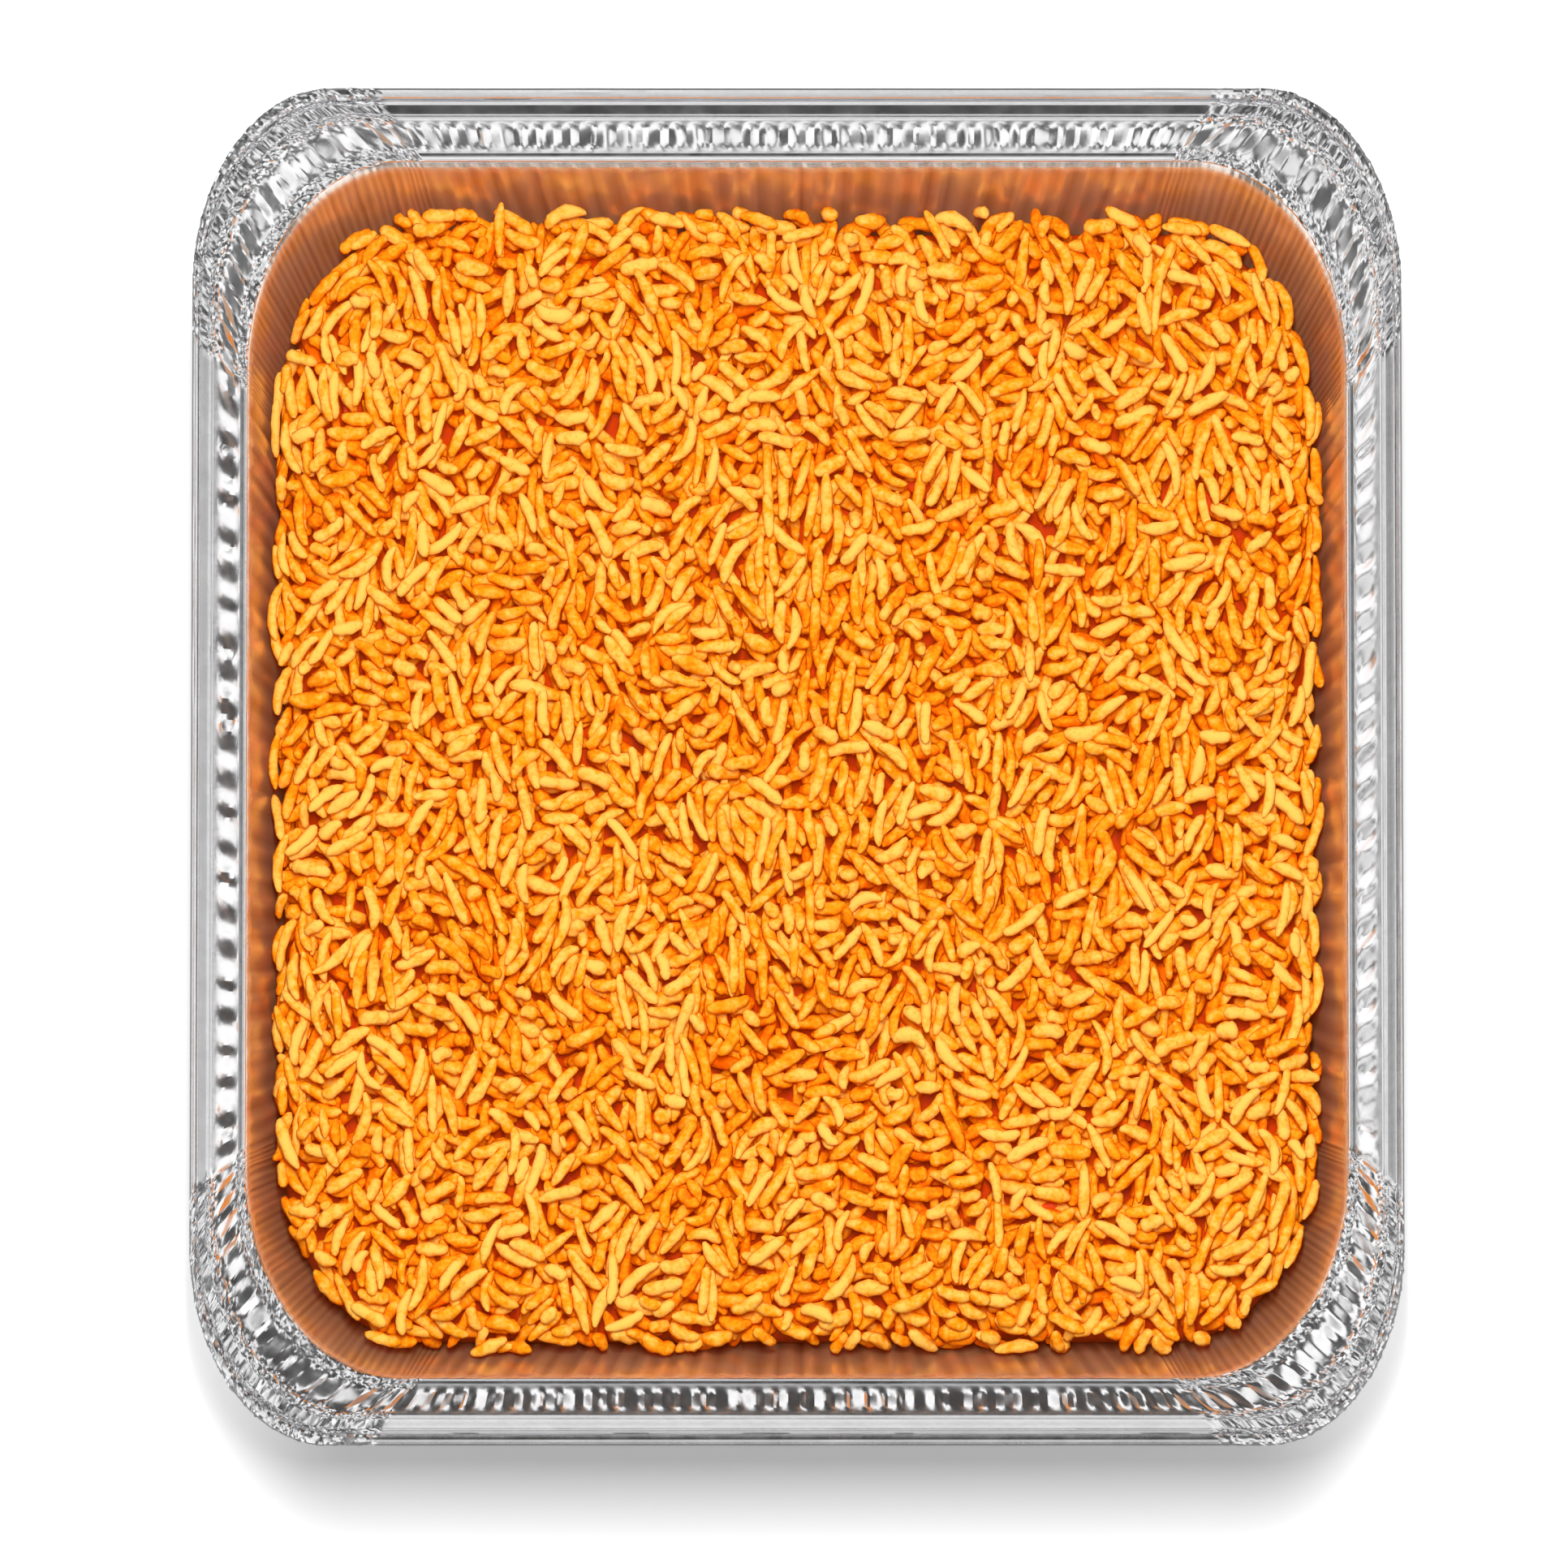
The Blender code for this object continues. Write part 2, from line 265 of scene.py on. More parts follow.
class FoilTraySizes(bpy.types.PropertyGroup):
    """Sizes of the foil's folds, in millimetres."""

    end_flute: size_setting("End facet", "Width of a facet of the collar at the two ends", 1.75, 0.5)
    side_flute: size_setting("Side facet", "Width of a facet of the collar along the sides", 3.4, 0.5)
    corner_flute: size_setting("Corner facet", "Width of a facet of the collar round the corners", 2.1, 0.5)
    flute_depth: size_setting("Facet tilt", "Height of a crease as a share of the facet's width", 0.22, 0.0)
    crimp_relief: size_setting("Crimp relief", "Depth of the fine creases of the corners", 0.24, 0.0)
    seed: IntProperty(name="Seed", description="Draws the uneven widths of the flutes", default=7)


class FoilTrayRice(bpy.types.PropertyGroup):
    """Sizes of the grains, in millimetres."""

    grain_length: size_setting("Grain length", "Mean length of a cooked grain", 8.7, 4.0)
    grain_radius: size_setting("Grain radius", "Mean radius of a cooked grain", 1.30, 0.5)
    grain_count: IntProperty(name="Grains", description="The most grains dropped", default=8000, min=10)
    seed: IntProperty(name="Seed", description="Draws where each grain falls", default=11)


class FoilTrayColours(bpy.types.PropertyGroup):
    """Colours of the foil and of the food."""

    foil: colour_setting("Foil", "Bright aluminium", (0.88, 0.875, 0.885))
    # Painted reflection: the orange of the rice seen in the wall's inside, given as oil on the foil
    oil_and_reflection: colour_setting("Film", "Foil under a film of orange oil", (0.95, 0.62, 0.25))
    # Painted shade: the darker stripes along the wall's pleats, given as thicker oil
    painted_stripe_shade: colour_setting("Film streak", "Foil under thicker oil", (0.60, 0.29, 0.08))
    grain_light: colour_setting("Light grain", "The palest grains", (1.0, 0.56, 0.10))
    grain_middle: colour_setting("Middle grain", "Most of the grains", (0.98, 0.33, 0.005))
    grain_deep: colour_setting("Deep grain", "The most coloured grains", (0.86, 0.14, 0.001))
    # Painted shade: the core is the rice under the grains, and its deep colour stands for the shade in the
    # gaps between them, given as oil stain
    core: colour_setting("Core", "Oil-stained rice under the grains", (0.62, 0.045, 0.001))
    # Painted glow: emission that lifts the shade in the rice, for light that would come through the grains
    glow: colour_setting("Glow", "Light that comes through the grains", (1.0, 0.20, 0.0))
    glow_strength: size_setting("Glow strength", "How much light comes through", 0.035, 0.0)
    pepper: colour_setting("Pepper", "Cooked red pepper", (0.80, 0.075, 0.006))


class FoilTrayStage(bpy.types.PropertyGroup):
    """The camera and the studio light."""

    distance: length_setting("Camera distance", "From the rim to the lens", 6.0)
    tilt: FloatProperty(
        name="Tilt",
        description="How far the camera leans from straight above",
        subtype="ANGLE",
        unit="ROTATION",
        default=math.radians(9.7),
    )
    view_height: length_setting("View height", "Height of the picture at the rim", 0.3039)
    key_power: size_setting("Key light", "Power of the key light, in watts", 38.0, 0.0)
    sky_strength: size_setting("Sky", "Strength of the studio round the tray", 1.1, 0.0)


# Meshes


def mesh_from(name, points, triangles, material, sharp_over=0):
    """A smooth closed piece at the origin from points in millimetres and triangles.

    Its volume is the sum of the triple products of its triangles' corners over six. Where that is
    negative the triangles are turned round, so that they face outwards.
    """
    corners = points[triangles]
    volume = np.einsum("ij,ij->i", corners[:, 0], np.cross(corners[:, 1], corners[:, 2])).sum() / 6
    if volume < 0:
        triangles = triangles[:, ::-1]
    mesh = bpy.data.meshes.new(name)
    mesh.vertices.add(len(points))
    mesh.vertices.foreach_set("co", np.ascontiguousarray(points * MM, dtype=np.float32).ravel())
    mesh.loops.add(triangles.size)
    mesh.loops.foreach_set("vertex_index", np.ascontiguousarray(triangles, dtype=np.int32).ravel())
    mesh.polygons.add(len(triangles))
    mesh.polygons.foreach_set("loop_start", np.arange(len(triangles), dtype=np.int32) * 3)
    mesh.update(calc_edges=True)
    mesh.shade_smooth()
    if sharp_over:
        mesh.set_sharp_from_angle(angle=math.radians(sharp_over))
    mesh.materials.append(material)
    made = bpy.data.objects.new(name, mesh)
    bpy.context.scene.collection.objects.link(made)
    return made


def add_attribute(piece, name, values):
    """Stores one number for each vertex, which the material reads."""
    layer = piece.data.attributes.new(name, "FLOAT", "POINT")
    layer.data.foreach_set("value", np.ascontiguousarray(values, dtype=np.float32))


def ring_triangles(rings, columns, closed_rings):
    """Triangles of a stack of closed rings, whose last ring meets the first where it is asked."""
    spans = rings if closed_rings else rings - 1
    ring, column = np.meshgrid(np.arange(spans), np.arange(columns), indexing="ij")
    next_ring, next_column = (ring + 1) % rings, (column + 1) % columns
    a, b = (ring * columns + column).ravel(), (ring * columns + next_column).ravel()
    c, d = (next_ring * columns + next_column).ravel(), (next_ring * columns + column).ravel()
    return np.concatenate([np.stack([a, b, c], axis=1), np.stack([a, c, d], axis=1)])


def capped_triangles(rings, columns):
    """Triangles of a stack of rings and of a fan over each end, to the two points after the rings."""
    first, last = rings * columns, rings * columns + 1
    here = np.arange(columns)
    after = (here + 1) % columns
    last_ring = (rings - 1) * columns
    fans = [
        np.stack([np.full(columns, first), after, here], axis=1),
        np.stack([np.full(columns, last), last_ring + here, last_ring + after], axis=1),
    ]
    return np.concatenate([ring_triangles(rings, columns, False), *fans])


def capped_rings(points):
    """Points and triangles of a stack of rings, each end closed by a fan round its middle."""
    middles = points[[0, -1]].mean(axis=1)
    return np.concatenate([points.reshape(-1, 3), middles]), capped_triangles(*points.shape[:2])


def smooth_step(share):
    """Zero under 0, one over 1, and three times its square less twice its cube between."""
    held = np.clip(share, 0, 1)
    return held * held * (3 - 2 * held)


def through_points(rows, steps):
    """A smooth path through control rows.

    Between two rows the path is the cubic that has, at each row, half the difference of the rows on
    both its sides as its slope.
    """
    padded = np.vstack([rows[0], rows, rows[-1]])
    share = np.linspace(0, 1, steps, endpoint=False)[:, None]
    spans = []
    for before, start, end, after in zip(padded, padded[1:], padded[2:], padded[3:]):
        slope_start, slope_end = (end - before) / 2, (after - start) / 2
        spans.append(
            (2 * share**3 - 3 * share**2 + 1) * start
            + (share**3 - 2 * share**2 + share) * slope_start
            + (3 * share**2 - 2 * share**3) * end
            + (share**3 - share**2) * slope_end
        )
    return np.vstack([*spans, rows[-1:]])


# The foil tray


class Columns:
    """The columns round the tray: where each lies on a straight or in a corner."""

    def __init__(self, end_step, side_step, corner_step):
        turns, runs, bends, crimps, sides = [], [], [], [], []
        corner_run = 0.5 * math.pi * math.sqrt(0.5 * (RIM_CORNER @ RIM_CORNER))
        corner_count = int(corner_run / corner_step)
        bend = np.arange(corner_count) / corner_count * math.pi / 2
        fine_count = int(CRIMP_REACH / corner_step)
        for quarter in range(4):
            is_side = quarter % 2 == 0
            half = (HALF_RIM - RIM_CORNER)[1 if is_side else 0]
            inner = half - CRIMP_REACH
            coarse_count = int(2 * inner / (side_step if is_side else end_step))
            run = np.concatenate(
                [
                    np.linspace(-half, -inner, fine_count, endpoint=False),
                    np.linspace(-inner, inner, coarse_count, endpoint=False),
                    np.linspace(inner, half, fine_count, endpoint=False),
                ]
            )
            count = len(run) + corner_count
            turns.append(np.full(count, quarter * math.pi / 2))
            sides.append(np.full(count, is_side))
            runs.append(np.concatenate([run / half, np.ones(corner_count)]))
            bends.append(np.concatenate([np.zeros(len(run)), bend]))
            crimp = smooth_step((CRIMP_REACH - half + np.abs(run)) / CRIMP_FADE)
            crimps.append(np.concatenate([crimp, np.ones(corner_count)]))
        self.turn, self.run, self.bend = np.concatenate(turns), np.concatenate(runs), np.concatenate(bends)
        self.crimp, self.is_side = np.concatenate(crimps), np.concatenate(sides)
        self.count = len(self.turn)
        places, _ = self.outline(HALF_RIM - LEDGE_INSET / 2, RIM_CORNER)
        self.step = np.linalg.norm(np.roll(places, -1, axis=0) - places, axis=1)
        self.perimeter = self.step.sum()
        self.arc = np.cumsum(self.step) - self.step

    def by_place(self, end, side, corner):
        """One value for the ends, one for the sides and one for the corners."""
        straight = np.where(self.is_side, side, end)
        return straight + (corner - straight) * self.crimp

    def outline(self, half, radius, steady=0.0):
        """Points and outward directions round a rectangle with elliptical corners.

        On a straight, the point is the side's reach plus its run along it. A steady outline holds
        the run to one length, whatever the size, but for the straight's ends, by one less the run's
        fourth power. In a corner, the point is the corner's centre plus the ellipse's radii times
        the cosine and sine of its angle.
        """
        across = np.stack([np.cos(self.turn), np.sin(self.turn)], axis=1).round(9)
        along = np.stack([-across[:, 1], across[:, 0]], axis=1)
        centre = half - radius
        straight = across * (np.abs(across) @ half)[:, None]
        one_length = HALF_RIM - LEDGE_INSET / 2 - RIM_CORNER
        held = centre + (one_length - centre) * (steady * (1 - self.run**4))[:, None]
        straight += along * ((np.abs(along) * held).sum(axis=1) * self.run)[:, None]
        angle = self.turn + self.bend
        round_part = np.stack([np.cos(angle), np.sin(angle)], axis=1)
        corner = (across + along) * centre + round_part * radius
        outward = round_part / radius
        outward /= np.linalg.norm(outward, axis=1)[:, None]
        in_corner = (self.bend > 0)[:, None]
        return np.where(in_corner, corner, straight), np.where(in_corner, outward, across)


class Flutes:
    """Flat facets round the tray between creases, each crease with its own place and height.

    Places wander by shares of a facet, and their two ends apart. Heights are shares of the depth.
    """

    wander = 0.33
    end_wander = 0.13
    height_range = (0.45, 1.0)
    end_heights = (0.75, 1.25)

    def __init__(self, columns, widths, steepness, lean, draw):
        width = columns.by_place(*widths)
        run = columns.step / width
        self.count = 2 * round(run.sum() / 2)
        self.phase = (np.cumsum(run) - run) * self.count / run.sum()
        self.depth = width * columns.by_place(*steepness)
        number = np.arange(self.count)
        slant = -lean * np.cos(columns.turn + columns.bend)
        slant = np.interp(number, self.phase, slant)[None] * np.array([[-0.5], [0.5]])
        place = number + draw.uniform(-self.wander, self.wander, self.count)
        self.places = place + slant + draw.uniform(-self.end_wander, self.end_wander, (2, self.count))
        height = draw.uniform(*self.height_range, self.count)
        height = height * draw.uniform(*self.end_heights, (2, self.count))
        self.heights = np.where(number % 2 == 0, 1, -1) * height

    def at(self, down):
        """How far the foil stands out at each column, for rings at a share of the way down.

        A crease's place and height run straight from its upper end to its lower end, and between
        two creases the foil is flat.
        """
        rings = []
        for share in down:
            place = self.places[0] * (1 - share) + self.places[1] * share
            height = self.heights[0] * (1 - share) + self.heights[1] * share
            rings.append(self.depth * np.interp(self.phase, place, height, period=self.count))
        return np.array(rings)


def facet_noise(rings, columns, step, draw):
    """Random numbers on a coarse lattice of the sheet, joined by straight slopes, from -1 to 1.

    A value is the mean of the lattice's four nearest numbers, weighted by nearness, so that the
    sheet breaks into small flat facets.
    """
    count = int(columns.perimeter / step)
    rows = rings // 2
    lattice = draw.uniform(-1, 1, (rows + 1, count))
    place = columns.arc / columns.perimeter * count
    left = np.floor(place).astype(int)
    share = place - left
    along_ring = lattice[:, left % count] * (1 - share) + lattice[:, (left + 1) % count] * share
    row = np.linspace(0, rows - 1e-6, rings)
    low = np.floor(row).astype(int)
    part = (row - low)[:, None]
    return along_ring[low] * (1 - part) + along_ring[low + 1] * part


def slow_waves(columns, draw, waves=9):
    """A gentle unevenness round the tray: a sum of sines of 8 to 40 turns with random phases."""
    turns = draw.integers(8, 40, waves)[:, None]
    phases = draw.uniform(0, 2 * math.pi, waves)[:, None]
    place = 2 * math.pi * columns.arc / columns.perimeter
    return np.sin(turns * place + phases).sum(axis=0) / math.sqrt(waves)


def rim_path():
    """Rows round the rim's section: side inset, end inset, depth, flute weight and crimp weight.

    It runs over the lip and the ledge, up the collar and over the flange, round the bead on an
    ellipse, and back under them all.
    """
    over = np.array(
        [
            (10.78, 13.80, 5.32, 0.0, 0.3),
            (10.62, 13.66, 4.98, 0.0, 0.6),
            (10.25, 13.25, 4.82, 0.0, 0.9),
            (9.75, 12.60, 4.76, 0.0, 1.0),
            (9.35, 12.15, 4.78, 0.0, 1.0),
            (9.05, 11.65, 4.52, 0.12, 0.7),
            (8.55, 11.00, 4.20, 0.5, 0.1),
            (7.80, 10.10, 3.72, 1.0, 0.04),
            (6.30, 8.20, 2.60, 0.9, 0.04),
            (5.62, 7.45, 2.10, 0.45, 0.1),
            (5.05, 6.85, 1.72, 0.1, 0.7),
            (4.62, 6.45, 1.42, 0.0, 1.0),
            (4.25, 6.10, 1.16, 0.0, 1.0),
            (3.85, 5.75, 1.00, 0.0, 1.0),
            (3.40, 5.40, 1.16, 0.0, 1.0),
            (3.15, 5.15, 1.05, 0.0, 1.0),
            (2.95, 5.00, 1.06, 0.0, 1.0),
            (1.75, 3.50, 1.17, 0.0, 1.0),
            (1.60, 3.30, 1.19, 0.0, 1.0),
            (1.45, 3.10, 1.10, 0.0, 1.0),
            (1.35, 2.80, 1.04, 0.0, 1.0),
            (1.27, 2.50, 1.16, 0.0, 1.0),
        ]
    )
    side, end, high = 0.62, 1.12, 1.05
    angle = np.radians(np.linspace(-25, 290, 14))
    bead = np.column_stack(
        [
            side + side * np.cos(angle),
            end + end * np.cos(angle),
            high - high * np.sin(angle),
            np.zeros_like(angle),
            np.full_like(angle, 0.9),
        ]
    )
    under = np.array(
        [
            (1.50, 2.60, 1.90, 0.0, 1.0),
            (4.50, 5.90, 1.60, 0.0, 1.0),
            (5.45, 6.95, 2.50, 0.7, 0.3),
            (8.50, 10.95, 4.95, 1.0, 0.2),
            (9.25, 12.00, 5.70, 0.2, 0.9),
            (10.50, 13.40, 5.95, 0.0, 0.5),
        ]
    )
    return np.vstack([through_points(over, 2), bead, under])


def wall_inset(depth):
    """Inset of the wall's inner face at a depth under the rim."""
    return LEDGE_INSET + WALL_DRAFT * (depth - LEDGE_DEPTH)


def wall_path():
    """Rows from the middle of the base inside, up the wall and over its edge, and back outside."""
    foot_depth = RIM_HEIGHT - BASE_FILLET - FOIL_GAP
    foot = wall_inset(foot_depth) + FILLET_SHAPE * BASE_FILLET
    centre = HALF_RIM - foot

    def on_base(share, depth):
        return (*(foot + centre * share), depth, 0.0, 0.0)

    def on_fillet(degrees, gap, floor):
        turn = math.radians(degrees)
        inset = wall_inset(foot_depth) - gap + FILLET_SHAPE * BASE_FILLET * (1 - math.cos(turn))
        return (*inset, foot_depth + (floor - foot_depth) * math.sin(turn), math.cos(turn), 0.1)

    def on_wall(share, gap):
        depth = LEDGE_DEPTH + share * (foot_depth - LEDGE_DEPTH)
        return (*(wall_inset(depth) - gap), depth, min(1.0, 12 * share), 0.12)

    inner, outer = RIM_HEIGHT - FOIL_GAP, RIM_HEIGHT - 0.02
    over_ledge = -0.014
    rows = [on_base(share, inner) for share in (0.9, 0.5, 0.1, 0.0)]
    rows += [on_fillet(degrees, 0.0, inner) for degrees in (75, 50, 25)]
    rows += [on_wall(share, 0.0) for share in np.linspace(1, over_ledge, 13)]
    rows += [on_wall(share, FOIL_GAP) for share in np.linspace(over_ledge, 1, 10)]
    rows += [on_fillet(degrees, FOIL_GAP, outer) for degrees in (25, 50, 75)]
    groove = outer - 0.5
    rows += [on_base(0.0, outer), on_base(0.03, groove), on_base(0.10, groove)]
    rows += [on_base(share, outer) for share in (0.13, 0.5, 0.9)]
    return np.array(rows)


def corner_radii(path):
    """Corner radii of each row, from the rim's to the ledge's and on down to the base's."""
    inwards = np.clip(path[:, :1] / LEDGE_INSET[0], 0, 1) ** 1.5
    down = np.clip((path[:, 2:3] - LEDGE_DEPTH) / (RIM_HEIGHT - LEDGE_DEPTH), 0, 1)
    radii = RIM_CORNER + (LEDGE_CORNER - RIM_CORNER) * inwards + (BASE_CORNER - LEDGE_CORNER) * down
    return np.minimum(radii, 0.98 * (HALF_RIM - path[:, :2]))


def sweep(path, push, columns):
    """Points of the sheet swept round the tray, ring by ring, pushed off its path by its folds.

    The push is square to the sheet: for each row, the path's own direction there, turned a quarter
    so that it points upwards.
    """
    inward, down = np.gradient(path[:, :2].mean(axis=1)), np.gradient(path[:, 2])
    square = np.stack([-down, inward], axis=1) * np.where(inward < 0, -1, 1)[:, None]
    square /= np.linalg.norm(square, axis=1)[:, None]
    rings = []
    for row, corner, shift, (out, up) in zip(path, corner_radii(path), push, square):
        steady = np.clip(1 - (row[0] - LEDGE_INSET[0]) / STEADY_REACH, 0, 1)
        place, outward = columns.outline(HALF_RIM - row[:2], corner, steady)
        place = place + outward * (out * shift)[:, None]
        rings.append(np.column_stack([place, RIM_HEIGHT - row[2] + up * shift]))
    return np.clip(np.array(rings), np.array(CAD_LOW) / MM, np.array(CAD_HIGH) / MM)


def folds(path, flutes, down, crimp_relief, columns, draw):
    """How far each point is pushed: the flutes, the fine creases of the corners and slow waves."""
    rings = len(path)
    creases = sum(weight * facet_noise(rings, columns, size, draw) for size, weight in CREASES)
    push = path[:, 3:4] * flutes.at(down)
    push = push + path[:, 4:5] * columns.crimp * crimp_relief * creases
    return push + WAVE_HEIGHT * slow_waves(columns, draw)


def build_rim(sizes, columns, draw, material):
    """The rolled bead, flange, fluted collar and ledge as one closed sheet."""
    widths = (sizes.end_flute, sizes.side_flute, sizes.corner_flute)
    flutes = Flutes(columns, widths, COLLAR_TILTS * sizes.flute_depth, COLLAR_LEAN, draw)
    path = rim_path()
    down = np.clip((path[:, 2] - COLLAR_TOP) / COLLAR_DROP, 0, 1)
    points = sweep(path, folds(path, flutes, down, sizes.crimp_relief, columns, draw), columns)
    triangles = ring_triangles(len(path), columns.count, True)
    piece = mesh_from("foil_rim", points.reshape(-1, 3), triangles, material, CREASE_ANGLE)
    add_attribute(piece, "oil_and_reflection", np.zeros(len(piece.data.vertices)))
    return piece


def build_wall(sizes, columns, draw, material):
    """The fluted wall and the base as one closed sheet. On its inside is an orange layer with the roughness
    of oil, which paints the rice's reflection and stripes of shade along the pleats.
    """
    flutes = Flutes(columns, WALL_FLUTES, WALL_TILTS, 0.0, draw)
    path = wall_path()
    down = np.clip((path[:, 2] - LEDGE_DEPTH) / (RIM_HEIGHT - LEDGE_DEPTH), 0, 1)
    points = sweep(path, folds(path, flutes, down, sizes.crimp_relief, columns, draw), columns)
    every_point, triangles = capped_rings(points)
    piece = mesh_from("foil_wall", every_point, triangles, material)
    # Painted reflection: the orange layer covers the wall's inside under the ledge
    inside = (np.arange(len(path)) < OIL_AND_REFLECTION_ROWS)[:, None]
    oil_and_reflection = inside * smooth_step((path[:, 2:3] - LEDGE_DEPTH) / OIL_AND_REFLECTION_FADE) * np.ones(columns.count)
    add_attribute(piece, "oil_and_reflection", np.concatenate([oil_and_reflection.ravel(), [1, 0]]))
    # Painted shade: stripes of the darker colour that follow the pleats
    stripe_shade_values = np.clip(STRIPE_SHADE_SHARE - STRIPE_SHADE_SPREAD * flutes.at(down) / flutes.depth, 0, 1)
    add_attribute(piece, "stripe_shade_amount", np.concatenate([stripe_shade_values.ravel(), [0, 0]]))
    return piece


# The rice


def wall_section(height):
    """Half sizes and corner radii of the wall's inside at a height, across and along."""
    depth = RIM_HEIGHT - np.asarray(height, dtype=float)[..., None]
    half = HALF_RIM - LEDGE_INSET - WALL_DRAFT * (depth - LEDGE_DEPTH)
    down = np.clip((depth - LEDGE_DEPTH) / (RIM_HEIGHT - LEDGE_DEPTH), 0, 1)
    return half, LEDGE_CORNER + (BASE_CORNER - LEDGE_CORNER) * down


def wall_clearance(x, y, height):
    """Millimetres in from the wall at a height.

    Past a corner's centre, the shares of both radii make a right triangle, and its long side's gap
    to one is scaled by the radius that way. Elsewhere it is the gap to the nearer side.
    """
    half, radius = wall_section(height)
    past = np.maximum(np.abs(np.stack(np.broadcast_arrays(x, y), axis=-1)) - (half - radius), 0) / radius
    squares = (past**2).sum(axis=-1)
    scaled = ((past * radius) ** 2).sum(axis=-1)
    reach = np.where(squares > 0, np.sqrt(scaled / np.maximum(squares, 1e-12)), radius.min(axis=-1))
    return (1 - np.sqrt(squares)) * reach


def heap_height(x, y):
    """Height that the heap is filled to: a rounded shoulder at the wall, then slow swells."""
    share = np.clip(wall_clearance(x, y, HEAP_EDGE) / HEAP_SHOULDER, 0, 1)
    swell = sum(size * np.sin(across * x + along * y + phase) for across, along, phase, size in HEAP_SWELLS)
    return HEAP_EDGE + (HEAP_MIDDLE - HEAP_EDGE) * (1 - (1 - share) ** 2) + swell * share


def grain_taper(part):
    """A grain's radius along it, for places from -1 to 1: the root of one less the fifth power."""
    return np.sqrt(np.maximum(1 - np.abs(part) ** 5, 0))


